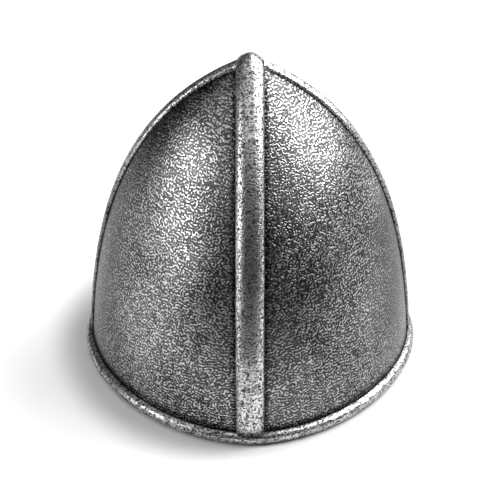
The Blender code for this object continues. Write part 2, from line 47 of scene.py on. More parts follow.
# ------------------------------------------------------------------ the part's own shape rules, in metres
MM = 0.001
HALF_W, HALF_L = 107.5 * MM, 123.6 * MM
PLAN_POWER = 1.82
ROLL_R, ROLL_T, WIRE_R, FLAT_ANGLE = 4.2 * MM, 1.1 * MM, 1.9 * MM, 13.0
DOME_INSET, DOME_Z0, DOME_TOP = 0.8 * MM, 6.6 * MM, 209.0 * MM
PROFILE = ((1.0, 1.0, 0.0), (0.972, 0.970, 0.407), (0.810, 0.532, 0.832), (0.0, 0.0, 1.0))
TOP_POWER = 1.5
PLATE_T, SEAM, GAP = 1.6 * MM, 0.2 * MM, 0.3 * MM
COMB_HALF_W = 9.2 * MM
COMB_H, COMB_TOP_H = 6.0 * MM, 4.2 * MM
SIDE_HALF_W = 4.5 * MM
SIDE_H, SIDE_TOP_H = 1.0 * MM, 2.0 * MM
SIDE_EDGE = 0.4 * MM
RIB_WALL = 1.5 * MM
ROLL_A, ROLL_B = HALF_W - ROLL_R, HALF_L - ROLL_R
DOME_A, DOME_B = ROLL_A - DOME_INSET, ROLL_B - DOME_INSET
ROLL_Z = ROLL_R * math.cos(math.radians(FLAT_ANGLE))
BAND_LOW, BAND_HIGH = 9.5 * MM, 31.0 * MM
BROW_OUT, BROW_T = 1.95 * MM, 1.35 * MM
LEATHER_OUT, LEATHER_T = 3.6 * MM, 2.5 * MM
RIVET_Z, RIVETS = 16.0 * MM, 8
GORES, GORE_T = 8, 8.0 * MM
GORE_A, GORE_B = 89.2 * MM, 104.8 * MM
GORE_Z0, GORE_Z1, GORE_RISE = 23.0 * MM, 31.0 * MM, 125.0 * MM
PIN_X, PIN_Z, PIN_R = 87.4 * MM, 12.5 * MM, 1.2 * MM
STRAP_W, STRAP_T = 18.0 * MM, 2.2 * MM
SKEW = math.radians(10.0)
RIGHT_LENGTH, LEFT_LENGTH = 158.0 * MM, 60.0 * MM
BAR_Z, BAR_R = 4.1 * MM, 1.4 * MM
BUCKLE_L, BUCKLE_HALF_W, BUCKLE_TILT = 21.0 * MM, 13.0 * MM, math.radians(-6.0)


def profile(s):
    k = [(1 - s) ** 3, 3 * s * (1 - s) ** 2, 3 * s * s * (1 - s), s**3]
    return tuple(sum(w * p[i] for w, p in zip(k, PROFILE)) for i in (0, 1, 2))


def height(s):
    return DOME_Z0 + profile(s)[2] * (DOME_TOP - DOME_Z0)


STATIONS = [-0.2 + 1.2 * i / 6000 for i in range(6001)]
HEIGHTS = [height(s) for s in STATIONS]


def s_at_height(z):
    if z <= HEIGHTS[0]:
        return STATIONS[0]
    i = bisect.bisect_left(HEIGHTS, z)
    if i >= len(HEIGHTS):
        return 1.0
    share = (z - HEIGHTS[i - 1]) / (HEIGHTS[i] - HEIGHTS[i - 1])
    return STATIONS[i - 1] + share * (STATIONS[i] - STATIONS[i - 1])


def power_at(s):
    return PLAN_POWER + (TOP_POWER - PLAN_POWER) * min(max(profile(s)[2], 0.0), 1.0)


def plan(phi, a, b, power=PLAN_POWER):
    c, s = math.cos(phi), math.sin(phi)
    return (
        a * math.copysign(abs(c) ** (2 / power), c),
        b * math.copysign(abs(s) ** (2 / power), s),
    )


def plan_normal(phi, a, b):
    c, s = math.cos(phi), math.sin(phi)
    power = 2 - 2 / PLAN_POWER
    return Vector((
        math.copysign(abs(c) ** power, c) / a, math.copysign(abs(s) ** power, s) / b, 0.0,
    )).normalized()


def level(x, y, s):
    a, b, _ = profile(s)
    power = power_at(s)
    return (abs(x) / (DOME_A * a)) ** power + (abs(y) / (DOME_B * b)) ** power - 1


def dome_normal(x, y, s):
    a, b, _ = profile(s)
    a, b, power = DOME_A * a, DOME_B * b, power_at(s)
    rise = (level(x, y, s + 0.002) - level(x, y, s - 0.002)) / (height(s + 0.002) - height(s - 0.002))
    return Vector((
        math.copysign(power / a * (abs(x) / a) ** (power - 1), x),
        math.copysign(power / b * (abs(y) / b) ** (power - 1), y),
        rise,
    )).normalized()


def dome(phi, s, inward=0.0):
    a, b, _ = profile(s)
    x, y = plan(phi, DOME_A * a, DOME_B * b, power_at(s))
    at = Vector((x, y, height(s)))
    return at - dome_normal(x, y, s) * inward if inward else at


def outside(x, y, z):
    if z >= DOME_TOP:
        return 1.0
    s = s_at_height(z)
    return 1.0 if profile(s)[0] <= 1e-6 else level(x, y, s)


def seat(start, direction):
    low, high = -12 * MM, 12 * MM
    for _ in range(18):
        mid = (low + high) / 2
        p = start + direction * mid
        if outside(p.x, p.y, p.z) > 0:
            high = mid
        else:
            low = mid
    return (low + high) / 2


def meridian(side, s):
    which, reach = (0, DOME_A) if abs(side.x) > 0.5 else (1, DOME_B)
    at = side * (profile(s)[which] * reach) + Vector((0, 0, height(s)))
    tangent = side * ((profile(s + 0.002)[which] - profile(s - 0.002)[which]) * reach)
    tangent.z = height(s + 0.002) - height(s - 0.002)
    tangent.normalize()
    return at, side * tangent.z - Vector((0, 0, side.dot(tangent)))


# ------------------------------------------------------------------ materials
class Tree:
    """A short way to write a node tree."""

    def __init__(self, name):
        self.material = bpy.data.materials.new(name)
        self.material.use_nodes = True
        self.tree = self.material.node_tree
        self.shader = self.tree.nodes["Principled BSDF"]
        self.object = self.tree.nodes.new("ShaderNodeTexCoord").outputs["Object"]

    def put(self, socket, value):
        if isinstance(value, bpy.types.NodeSocket):
            self.tree.links.new(value, socket)
        elif isinstance(value, (int, float)) and socket.type == "VECTOR":
            socket.default_value = (value,) * 3
        elif isinstance(value, tuple) and socket.type == "RGBA" and len(value) == 3:
            socket.default_value = (*value, 1.0)
        else:
            socket.default_value = value

    def math(self, kind, a, b=0.0, c=0.0, clamp=False):
        node = self.tree.nodes.new("ShaderNodeMath")
        node.operation = kind
        node.use_clamp = clamp
        for socket, value in zip(node.inputs, (a, b, c)):
            self.put(socket, value)
        return node.outputs[0]

    def noise(self, scale, detail=0.0, vector=None, roughness=0.5, distortion=0.0, colour=False):
        node = self.tree.nodes.new("ShaderNodeTexNoise")
        self.put(node.inputs["Vector"], vector or self.object)
        for name, value in (("Scale", scale), ("Detail", detail), ("Roughness", roughness), ("Distortion", distortion)):
            node.inputs[name].default_value = value
        return node.outputs["Color" if colour else "Fac"]

    def vector(self, kind, a, b=(0, 0, 0)):
        node = self.tree.nodes.new("ShaderNodeVectorMath")
        node.operation = kind
        self.put(node.inputs[0], a)
        if kind == "SCALE":
            self.put(node.inputs["Scale"], b)
        else:
            self.put(node.inputs[1], b)
        return node.outputs[0]

    def ramp(self, value, low, high, to_low=0.0, to_high=1.0, smooth=True):
        node = self.tree.nodes.new("ShaderNodeMapRange")
        node.interpolation_type = "SMOOTHSTEP" if smooth else "LINEAR"
        for socket, v in zip(node.inputs, (value, low, high, to_low, to_high)):
            self.put(socket, v)
        return node.outputs["Result"]

    def mix(self, factor, a, b, kind="MIX"):
        node = self.tree.nodes.new("ShaderNodeMix")
        node.data_type = "RGBA"
        node.blend_type = kind
        self.put(node.inputs[0], factor)
        self.put(node.inputs[6], a)
        self.put(node.inputs[7], b)
        return node.outputs[2]

    def xyz(self, vector=None):
        node = self.tree.nodes.new("ShaderNodeSeparateXYZ")
        self.put(node.inputs[0], vector or self.object)
        return node.outputs

    def join(self, x, y, z):
        node = self.tree.nodes.new("ShaderNodeCombineXYZ")
        for socket, value in zip(node.inputs, (x, y, z)):
            self.put(socket, value)
        return node.outputs[0]

    def bump(self, height, distance, strength=1.0, after=None):
        node = self.tree.nodes.new("ShaderNodeBump")
        node.inputs["Strength"].default_value = strength
        node.inputs["Distance"].default_value = distance
        self.put(node.inputs["Height"], height)
        if after is not None:
            self.put(node.inputs["Normal"], after)
        return node.outputs[0]

    def attribute(self, name):
        node = self.tree.nodes.new("ShaderNodeAttribute")
        node.attribute_name = name
        return node.outputs["Fac"]

    def set(self, **values):
        names = {
            "colour": "Base Color", "roughness": "Roughness", "metallic": "Metallic", "normal": "Normal",
            "sheen": "Sheen Weight", "sheen_roughness": "Sheen Roughness", "specular": "Specular IOR Level",
            "coat": "Coat Weight", "coat_roughness": "Coat Roughness",
        }
        for name, value in values.items():
            self.put(self.shader.inputs[names[name]], value)
        return self.material


def coils(t, wavelength, irregular, vector=None):
    """A field whose bands curl round each other at one spacing, 0 to 1."""
    node = t.tree.nodes.new("ShaderNodeTexGabor")
    node.gabor_type = "3D"
    t.put(node.inputs["Vector"], vector or t.object)
    node.inputs["Scale"].default_value = 1.0 / (wavelength * irregular)
    node.inputs["Frequency"].default_value = irregular
    node.inputs["Anisotropy"].default_value = 0.0
    return node.outputs["Value"]


def antique_plate():
    """Curling raised ridges, bright where they are worn, over dark recesses."""
    t = Tree("embossed_antique_steel")
    field = coils(t, 1.85 * MM, 1.8)
    relief = t.ramp(field, 0.47, 0.62)
    break_up = t.ramp(t.noise(330, 1.0), 0.34, 0.50, 0.35, 1.0)
    relief = t.math("MULTIPLY", relief, break_up)
    fine = t.noise(1600, 2.0)
    x, y, z = t.xyz()
    # painted shade with some grime: the plates, ridges included, darken along the comb, the side ribs and above the
    # roll
    near_comb = t.ramp(t.math("ABSOLUTE", x), 9.6 * MM, 13.5 * MM)
    near_side = t.math("MULTIPLY", t.ramp(t.math("ABSOLUTE", y), 4.6 * MM, 7.5 * MM), t.ramp(t.math("ABSOLUTE", y), 4.6 * MM, 24 * MM, 0.60, 1.0))
    near_rim = t.ramp(z, 10.2 * MM, 13.6 * MM)
    open_plate = t.math("MULTIPLY", t.math("MULTIPLY", near_comb, near_side), near_rim)
    patch = t.noise(22, 3.0, roughness=0.6)
    # painted reflection: faint vertical dark streaks low on the plates, over recesses and ridges alike
    streak = t.noise(1.0, 2.0, t.vector("MULTIPLY", t.object, (190, 190, 14)))
    reflection_streaks = t.math("MULTIPLY", t.ramp(streak, 0.50, 0.68), t.ramp(z, 85 * MM, 45 * MM))
    shade = t.math("SUBTRACT", 1.0, t.math("MULTIPLY", reflection_streaks, 0.45))
    plate_grime_and_shade = t.ramp(open_plate, 0.0, 1.0, 0.12, 1.0, smooth=False)
    base = t.math("MULTIPLY", t.ramp(patch, 0.32, 0.70, 0.045, 0.14), t.math("MULTIPLY", shade, plate_grime_and_shade))
    crest = t.math("MULTIPLY", t.ramp(patch, 0.30, 0.72, 0.56, 0.74), t.ramp(open_plate, 0.0, 1.0, 0.30, 1.0, smooth=False))
    crest = t.math("MULTIPLY", crest, t.math("ADD", 0.6, t.math("MULTIPLY", shade, 0.4)))
    # painted shade: darker where the plates turn away to the sides, most of all low down
    high = t.ramp(x, -40 * MM, 40 * MM, 0.80, 0.08)
    reach = t.math("MULTIPLY", t.ramp(z, 145 * MM, 95 * MM, high, 1.0), t.ramp(z, 14 * MM, 46 * MM, 0.10, 1.0))
    side_shade_mask = t.math("MULTIPLY", t.ramp(t.attribute("side"), 0.70, 0.99), reach)
    side_and_low_shade = t.math("SUBTRACT", 1.0, t.math("MULTIPLY", side_shade_mask, 0.72))
    # painted shade: darker over the lower half, and more on the wearer's left
    low = t.ramp(x, -12 * MM, 12 * MM, 0.84, 0.60)
    side_and_low_shade = t.math("MULTIPLY", side_and_low_shade, t.ramp(z, 135 * MM, 92 * MM, 1.0, low))
    value = t.math("ADD", t.math("MULTIPLY", crest, relief), t.math("MULTIPLY", base, t.math("SUBTRACT", 1.0, relief)))
    value = t.math("MULTIPLY", t.math("MULTIPLY", value, side_and_low_shade), t.ramp(fine, 0.3, 0.7, 0.85, 1.1, smooth=False))
    colour = t.mix(1.0, t.join(value, value, value), (1.0, 0.997, 0.99), "MULTIPLY")
    height = t.math("ADD", relief, t.math("MULTIPLY", fine, 0.10))
    rough = t.ramp(relief, 0.0, 1.0, 0.38, 0.27, smooth=False)
    return t.set(colour=colour, metallic=1.0, roughness=rough, normal=t.bump(height, 0.00011))


def antique_rib(name="pitted_antique_steel", light=0.74, along=None):
    """Finer than the plates: bright metal with small dark pits and faint short ridges."""
    t = Tree(name)
    field = coils(t, 1.7 * MM, 1.6)
    lines = t.ramp(field, 0.38, 0.54)
    pit = t.ramp(t.noise(620, 2.0, roughness=0.6), 0.38, 0.50)
    pits = t.math("MULTIPLY", pit, t.ramp(t.noise(260, 1.0), 0.32, 0.46, 0.40, 1.0))
    patch = t.noise(40, 3.0, roughness=0.6)
    tone = t.ramp(patch, 0.30, 0.70, light * 0.72, light)
    value = t.math("MULTIPLY", tone, t.math("ADD", 0.10, t.math("MULTIPLY", pits, 0.90)))
    value = t.math("MULTIPLY", value, t.math("ADD", 0.42, t.math("MULTIPLY", lines, 0.62)))
    # along supplies the rib's painted shade, with some grime
    if along is not None:
        value = t.math("MULTIPLY", value, along(t))
    colour = t.mix(1.0, t.join(value, value, value), (1.0, 0.997, 0.99), "MULTIPLY")
    height = t.math("ADD", t.math("MULTIPLY", pits, 0.5), t.math("MULTIPLY", lines, 0.6))
    rough = t.ramp(pits, 0.0, 1.0, 0.5, 0.30, smooth=False)
    return t.set(colour=colour, metallic=1.0, roughness=rough, normal=t.bump(height, 0.00010))


def foot_grime_and_shade(t):
    """Painted shade, with some grime: darker along both feet, where the rib meets the plates, and at the lower end
    above the roll.
    """
    z = t.xyz()[2]
    return t.math("MULTIPLY", t.ramp(t.attribute("foot"), 0.0, 0.30, 0.10, 1.0), t.ramp(z, 9.5 * MM, 15 * MM, 0.22, 1.0))


def side_grime_and_shade(t):
    """As for the rib feet, and darker low down on the sides: painted shade."""
    return t.math("MULTIPLY", foot_grime_and_shade(t), t.ramp(t.xyz()[2], 95 * MM, 165 * MM, 0.30, 1.0))


def rim_painted_shade(t):
    """Painted shade: darker where the roll runs in under the plates."""
    return t.ramp(t.attribute("foot"), 0.05, 0.5, 0.06, 1.0)


def plain_steel():
    t = Tree("dull_steel")
    grain = t.noise(900, 3.0)
    blot = t.noise(70, 4.0, roughness=0.65)
    value = t.math("MULTIPLY", t.ramp(blot, 0.3, 0.7, 0.16, 0.42), t.ramp(grain, 0.3, 0.7, 0.8, 1.1))
    rust = t.ramp(t.noise(120, 4.0, roughness=0.7), 0.60, 0.74, 0.0, 0.55)
    colour = t.mix(rust, t.join(value, value, value), (0.16, 0.075, 0.035))
    return t.set(
        colour=colour, metallic=t.ramp(rust, 0.0, 1.0, 1.0, 0.35, smooth=False),
        roughness=t.ramp(blot, 0.3, 0.7, 0.42, 0.62), normal=t.bump(grain, 0.00012),
    )


def leather(name, dark, light, wear):
    t = Tree(name)
    cells = t.tree.nodes.new("ShaderNodeTexVoronoi")
    cells.feature = "DISTANCE_TO_EDGE"
    t.put(cells.inputs["Vector"], t.vector("ADD", t.object, t.vector("SCALE", t.noise(500, 1.0, colour=True), 0.0012)))
    cells.inputs["Scale"].default_value = 900
    creases = t.ramp(cells.outputs["Distance"], 0.0, 0.16)
    blot = t.noise(55, 4.0, roughness=0.6)
    scuff = t.ramp(t.noise(240, 3.0, roughness=0.7), 0.58, 0.72, 0.0, wear)
    colour = t.mix(t.ramp(blot, 0.3, 0.7), dark, light)
    colour = t.mix(t.ramp(creases, 0.0, 1.0, 0.55, 0.0, smooth=False), colour, tuple(c * 0.35 for c in dark))
    colour = t.mix(scuff, colour, tuple(min(1.0, c * 2.3) for c in light))
    height = t.math("ADD", t.math("MULTIPLY", creases, 0.7), t.math("MULTIPLY", t.noise(160, 2.0), 0.6))
    return t.set(
        colour=colour, roughness=t.ramp(blot, 0.3, 0.7, 0.48, 0.68), specular=0.4, normal=t.bump(height, 0.00018),
    )


def linen():
    """Plain weave, laid on whichever of the three coordinate planes the cloth faces most."""
    t = Tree("quilted_linen")
    geometry = t.tree.nodes.new("ShaderNodeNewGeometry").outputs["Normal"]
    n = t.xyz(t.vector("ABSOLUTE", geometry))
    p = t.xyz()
    wobble = t.math("MULTIPLY", t.noise(90, 2.0), 0.0012)

    def threads(u, v):
        warp = t.math("SINE", t.math("MULTIPLY", t.math("ADD", u, wobble), 2 * math.pi / 0.0011))
        weft = t.math("SINE", t.math("MULTIPLY", t.math("ADD", v, wobble), 2 * math.pi / 0.0011))
        over = t.math("MULTIPLY", warp, weft)
        return t.math("ADD", t.math("MULTIPLY", t.math("ABSOLUTE", over), 0.6), t.math("MULTIPLY", over, 0.4))

    x_faces = t.math("GREATER_THAN", n[0], n[1])
    side = t.math(
        "ADD", t.math("MULTIPLY", x_faces, threads(p[1], p[2])),
        t.math("MULTIPLY", t.math("SUBTRACT", 1.0, x_faces), threads(p[0], p[2])),
    )
    up = t.math("GREATER_THAN", n[2], 0.72)
    weave = t.math("ADD", t.math("MULTIPLY", up, threads(p[0], p[1])), t.math("MULTIPLY", t.math("SUBTRACT", 1.0, up), side))
    slub = t.ramp(t.noise(1.0, 2.0, t.vector("MULTIPLY", t.object, (900, 900, 90))), 0.45, 0.75, 0.0, 0.5)
    stain = t.noise(30, 4.0, roughness=0.6)
    colour = t.mix(t.ramp(stain, 0.35, 0.70), (0.60, 0.53, 0.41), (0.46, 0.39, 0.285))
    colour = t.mix(t.ramp(weave, -0.4, 1.0, 0.45, 0.0), colour, (0.24, 0.20, 0.145))
    colour = t.mix(slub, colour, (0.68, 0.62, 0.50))
    height = t.math("ADD", weave, t.math("MULTIPLY", slub, 0.5))
    return t.set(colour=colour, roughness=0.92, sheen=0.25, sheen_roughness=0.5, specular=0.2, normal=t.bump(height, 0.00022))


def thread():
    t = Tree("waxed_thread")
    twist = t.math("SINE", t.math("MULTIPLY", t.math("ADD", t.xyz()[0], t.math("ADD", t.xyz()[1], t.xyz()[2])), 2 * math.pi / 0.0009))
    colour = t.mix(t.ramp(twist, -1.0, 1.0), (0.42, 0.36, 0.26), (0.70, 0.64, 0.52))
    return t.set(colour=colour, roughness=0.75, normal=t.bump(twist, 0.00008))


def brass():
    t = Tree("worn_brass")
    tarnish = t.ramp(t.noise(130, 4.0, roughness=0.65), 0.42, 0.66)
    scratch = t.noise(1.0, 2.0, t.vector("MULTIPLY", t.object, (2600, 300, 300)))
    colour = t.mix(tarnish, (0.62, 0.46, 0.21), (0.22, 0.15, 0.075))
    return t.set(
        colour=colour, metallic=1.0, roughness=t.ramp(tarnish, 0.0, 1.0, 0.26, 0.52, smooth=False),
        normal=t.bump(scratch, 0.00004),
    )


PLATE_LOOK = antique_plate()
RIB_LOOK = antique_rib(along=foot_grime_and_shade)
SIDE_LOOK = antique_rib("pitted_side_steel", 0.74, along=side_grime_and_shade)
RIM_LOOK = antique_rib("pitted_rim_steel", 0.72, along=rim_painted_shade)
BAND_LOOK = plain_steel()
STRAP_LOOK = leather("strap_leather_look", (0.050, 0.024, 0.012), (0.115, 0.058, 0.028), 0.35)
LINER_LEATHER_LOOK = leather("liner_leather_look", (0.15, 0.082, 0.042), (0.26, 0.155, 0.085), 0.25)
LINEN_LOOK = linen()
THREAD_LOOK = thread()
BRASS_LOOK = brass()


# ------------------------------------------------------------------ mesh helpers
def piece(name, mesh, look, body, replaced=(), angle=40.0):
    mesh.materials.clear()
    mesh.materials.append(look)
    mesh.shade_smooth()
    if angle:
        mesh.set_sharp_from_angle(angle=math.radians(angle))
    obj = bpy.data.objects.new(name, mesh)
    bpy.context.scene.collection.objects.link(obj)
    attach(obj, body)
    if replaced:
        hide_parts(*replaced)
    return obj


def mesh_from(name, points, faces):
    mesh = bpy.data.meshes.new(name)
    mesh.from_pydata([tuple(p) for p in points], [], faces)
    mesh.validate()
    bm = bmesh.new()
    bm.from_mesh(mesh)
    bmesh.ops.recalc_face_normals(bm, faces=bm.faces)
    bm.to_mesh(mesh)
    bm.free()
    return mesh


def shell(name, columns, rows, outer, inner, wrap=False):
    """A closed sheet between two rules of (u, v), u along the columns."""
    across = columns if wrap else columns + 1
    points, faces = [], []
    for rule in (outer, inner):
        for j in range(rows + 1):
            for i in range(across):
                points.append(rule(i / columns, j / rows))
    half = across * (rows + 1)

    def at(i, j, side):
        return side * half + j * across + i % across

    for j in range(rows):
        for i in range(columns):
            for side in (0, 1):
                faces.append((at(i, j, side), at(i + 1, j, side), at(i + 1, j + 1, side), at(i, j + 1, side)))
    for i in range(columns):
        for j in (0, rows):
            faces.append((at(i, j, 0), at(i + 1, j, 0), at(i + 1, j, 1), at(i, j, 1)))
    if not wrap:
        for j in range(rows):
            for i in (0, columns):
                faces.append((at(i, j, 0), at(i, j + 1, 0), at(i, j + 1, 1), at(i, j, 1)))
    return mesh_from(name, points, faces)


def loft(name, sections, closed=False, marks=None):
    count = len(sections[0])
    points = [p for section in sections for p in section]
    faces = []
    rings = len(sections)
    for k in range(rings if closed else rings - 1):
        for i in range(count):
            j, m = (i + 1) % count, (k + 1) % rings
            faces.append((k * count + i, k * count + j, m * count + j, m * count + i))
    if not closed:
        faces.append(tuple(range(count)))
        faces.append(tuple((rings - 1) * count + i for i in range(count)))
    mesh = mesh_from(name, points, faces)
    if marks is not None:
        layer = mesh.attributes.new("foot", "FLOAT", "POINT")
        layer.data.foreach_set("value", np.tile(np.array(marks, np.float32), rings))
    return mesh


def uneven(p, size, scale, seed=0.0):
    """A small height, smooth and fixed, for hand-worked metal."""
    return size * noise.noise(p * scale + Vector((seed, seed * 1.7, -seed)))


# ------------------------------------------------------------------ shell
S_TOP = 1.0
while profile(S_TOP)[0] * DOME_A < 4.5 * MM:
    S_TOP -= 0.002

for plate, start in (
    ("plate_front_left", 1.5 * math.pi), ("plate_front_right", math.pi),
    ("plate_rear_left", 0.0), ("plate_rear_right", 0.5 * math.pi),
):
    middle = start + math.pi / 4
    shift = Vector((math.copysign(SEAM, math.cos(middle)), math.copysign(SEAM, math.sin(middle)), 0))

    def skin(depth, start=start, shift=shift):
        def rule(u, v):
            s = S_TOP * (1 - (1 - v) ** 1.15)
            at = dome(start + u * math.pi / 2, s, depth)
            edge = min(1.0, 6 * u, 6 * (1 - u), 8 * v)
            return at + shift + (at - Vector((0, 0, 60 * MM))).normalized() * (edge * uneven(at, 0.30 * MM, 38.0, 2.0))

        return rule

    mesh = shell(plate + "_skin", 56, 84, skin(0.0), skin(PLATE_T))
    across = [
        abs(math.cos(start + math.pi / 2 * i / 56)) ** (2 / power_at(S_TOP * (1 - (1 - j / 84) ** 1.15)))
        for j in range(85) for i in range(57)
    ]
    mesh.attributes.new("side", "FLOAT", "POINT").data.foreach_set("value", np.array(across * 2, np.float32))
    piece(plate + "_skin", mesh, PLATE_LOOK, "root", (plate,))


def rib_section(at, normal, across, half_width, height, wall, steps):
    outer, inner, marks = [], [], []
    for i in range(steps + 1):
        angle = math.pi * i / steps
        for ring, w, h in ((outer, half_width, height), (inner, half_width - wall, height - wall)):
            # a fuller top than a half circle, and feet that meet the plates square
            c = math.copysign(abs(math.cos(angle)) ** 0.86, math.cos(angle))
            side = across * (w * c)
            foot = seat(at + side, normal) + GAP + 0.2 * MM
            ring.append(at + side + normal * (foot + h * math.sin(angle) ** 0.92))
        marks.append(math.sin(angle))
    return outer + inner[::-1], marks + [0.0] * len(marks)


RIB_LOW = s_at_height(2 * ROLL_R + 0.6 * MM)
APEX = 0.975
front, rear = Vector((0, -1, 0)), Vector((0, 1, 0))
RIB_STEPS = 22


def spread(low, high, count):
    return [low + (high - low) * i / count for i in range(count + 1)]


def comb_stations():
    for side, order in ((front, 1), (rear, -1)):
        run = [
            (*meridian(side, s), COMB_H + (COMB_TOP_H - COMB_H) * profile(s)[2])
            for s in spread(RIB_LOW, APEX, 80)
        ]
        if order == 1:
            yield from run
            top = meridian(side, APEX)
            for k in spread(-0.9, 0.9, 12):
                tall = COMB_TOP_H - 0.75 * MM * (1 - abs(k)) ** 2
                yield (
                    Vector((0, top[0].y * -k, top[0].z)),
                    Vector((0, math.sin(top[1].y * -k), 1)).normalized(), tall,
                )
        else:
            yield from run[::-1]


sections, marks = [], None
for at, normal, tall in comb_stations():
    section, marks = rib_section(at, normal, Vector((1, 0, 0)), COMB_HALF_W, tall, RIB_WALL, RIB_STEPS)
    section = [p + (p - at).normalized() * (uneven(p, 0.22 * MM, 55.0, 5.0) - 0.1 * MM) for p in section]
    sections.append(section)
piece("comb_rib_skin", loft("comb_rib_skin", sections, marks=marks), RIB_LOOK, "root", ("comb_rib",))

for rib, side in (("side_rib_left", Vector((1, 0, 0))), ("side_rib_right", Vector((-1, 0, 0)))):
    sections = []
    marks = []
    for s in spread(RIB_LOW, 0.972, 90):
        at, normal = meridian(side, s)
        tall = SIDE_H + (SIDE_TOP_H - SIDE_H) * profile(s)[2]
        top, under, marks = [], [], []
        for i in range(17):
            angle = math.pi * i / 16
            out = Vector((0, SIDE_HALF_W * math.cos(angle), 0))
            foot = seat(at + out, normal) + GAP + 0.1 * MM
            top.append(at + out + normal * (foot + SIDE_EDGE + tall * math.sin(angle) + uneven(at + out, 0.12 * MM, 60.0, 8.0)))
            under.append(at + out + normal * foot)
            marks.append(0.25 + math.sin(angle))
        if abs(at.x) < 14 * MM:
            top, under = ([Vector((side.x * max(side.x * p.x, COMB_HALF_W - 0.3 * MM), p.y, p.z)) for p in ring] for ring in (top, under))
        sections.append(top + under[::-1])
    piece(
        rib + "_skin", loft(rib + "_skin", sections, marks=marks + [0.0] * 17), SIDE_LOOK, "root", (rib,),
    )

# rolled edge: round all the way but for the worn flat that it stands on
roll_angles = [152 + (257 - 152) * i / 9 for i in range(10)] + [283 + (455 - 283) * i / 15 for i in range(16)]
sections = []
for i in range(288):
    phi = 2 * math.pi * i / 288
    x, y = plan(phi, ROLL_A, ROLL_B)
    n = plan_normal(phi, ROLL_A, ROLL_B)
    centre = Vector((x, y, ROLL_Z))
    ring = []
    for radius, order in ((ROLL_R, 1), (ROLL_R - ROLL_T, -1)):
        for degrees in roll_angles[::order]:
            a = math.radians(degrees)
            p = centre + n * (radius * math.cos(a)) + Vector((0, 0, radius * math.sin(a)))
            if p.z > 1.0 * MM:
                p += (p - centre).normalized() * (uneven(p, 0.20 * MM, 48.0, 11.0) - 0.1 * MM)
            ring.append(p)
    sections.append(ring)
marks = [min(1.0, (d - 145) / 20, (456 - d) / 22) for d in roll_angles]
piece("rim_roll_skin", loft("rim_roll_skin", sections, closed=True, marks=marks + [0.2] * len(marks)), RIM_LOOK, "root", ("rim_roll",))

# ------------------------------------------------------------------ small helpers for the fittings
def lathe(profile_points, places, name, steps=28):
    """A profile of (radius, height), turned about Z and set at each matrix. It starts and ends on the axis."""
    points, faces = [], []
    for place in places:
        base = len(points)
        points.append(place @ Vector((0, 0, profile_points[0][1])))
        rings = profile_points[1:-1]
        for r, z in rings:
            for i in range(steps):
                a = 2 * math.pi * i / steps
                points.append(place @ Vector((r * math.cos(a), r * math.sin(a), z)))
        points.append(place @ Vector((0, 0, profile_points[-1][1])))
        last = len(points) - 1
        for i in range(steps):
            j = (i + 1) % steps
            faces.append((base, base + 1 + i, base + 1 + j))
            for k in range(len(rings) - 1):
                a, b = base + 1 + k * steps, base + 1 + (k + 1) * steps
                faces.append((a + i, a + j, b + j, b + i))
            end = base + 1 + (len(rings) - 1) * steps
            faces.append((end + i, end + j, last))
    return mesh_from(name, points, faces)


def dome_head(radius, low, rise, edge=0.25 * MM, steps=7):
    """Profile of a rivet head: a short square edge, then a rounded top that ends on the axis."""
    run = [(radius * 0.97, low), (radius, low + edge * 0.3)]
    for i in range(steps + 1):
        a = math.pi / 2 * i / steps
        run.append((radius * math.cos(a), low + edge + (rise - edge) * math.sin(a)))
    return run[:-1] + [(0, low + rise)]


def facing(at, direction):
    return Matrix.Translation(at) @ direction.to_track_quat("Z", "Y").to_matrix().to_4x4()


def stitches(name, runs, radius, body, gap=1.5 * MM, length=3.3 * MM):
    """Rows of stitches. Each run is a rule from 0..1 to (point, normal), with its length."""
    points, faces = [], []
    rings, around = 6, 6
    for rule, total, closed in runs:
        count = max(1, int(total / (length + gap)))
        share = length / (length + gap)
        for n in range(count):
            start, end = rule(n / count), rule((n + share) / count)
            normal = (start[1] + end[1]).normalized()
            along = end[0] - start[0]
            side = along.cross(normal).normalized()
            base = len(points)
            for k in range(rings + 1):
                f = k / rings
                swell = math.sin(math.pi * (0.06 + 0.88 * f)) ** 0.5
                centre = start[0] + along * f + normal * (radius * (0.9 * swell - 0.5))
                for i in range(around):
                    a = 2 * math.pi * i / around
                    points.append(centre + side * (radius * swell * math.cos(a)) + normal * (radius * 0.85 * swell * math.sin(a)))
            for k in range(rings):
                for i in range(around):
                    j = (i + 1) % around
                    a, b = base + k * around, base + (k + 1) * around
                    faces.append((a + i, a + j, b + j, b + i))
            faces.append(tuple(base + i for i in range(around)))
            faces.append(tuple(base + rings * around + i for i in range(around)))
    return piece(name, mesh_from(name, points, faces), THREAD_LOOK, body, angle=0)


# ------------------------------------------------------------------ brow band, liner band, wire, rivets
BAND_ROWS = [0.0, 0.008, 0.022, 0.045, 0.10, 0.30, 0.50, 0.70, 0.90, 0.955, 0.978, 0.992, 1.0]


def band_rule(depth, sense, edge, wave=0.0):
    """The band's face at a depth under the plates, its edges rounded towards its middle."""
    def rule(u, v):
        v = BAND_ROWS[round(v * (len(BAND_ROWS) - 1))]
        near = min(v, 1 - v) * (BAND_HIGH - BAND_LOW)
        inset = edge * (1 - math.sqrt(max(0.0, 1 - (1 - near / edge) ** 2))) if near < edge else 0.0
        z = BAND_LOW + v * (BAND_HIGH - BAND_LOW)
        at = dome(2 * math.pi * u, s_at_height(z), depth + sense * inset)
        return at if not wave else at - at.normalized() * (wave * (0.5 + noise.noise(at * 70)))

    return rule


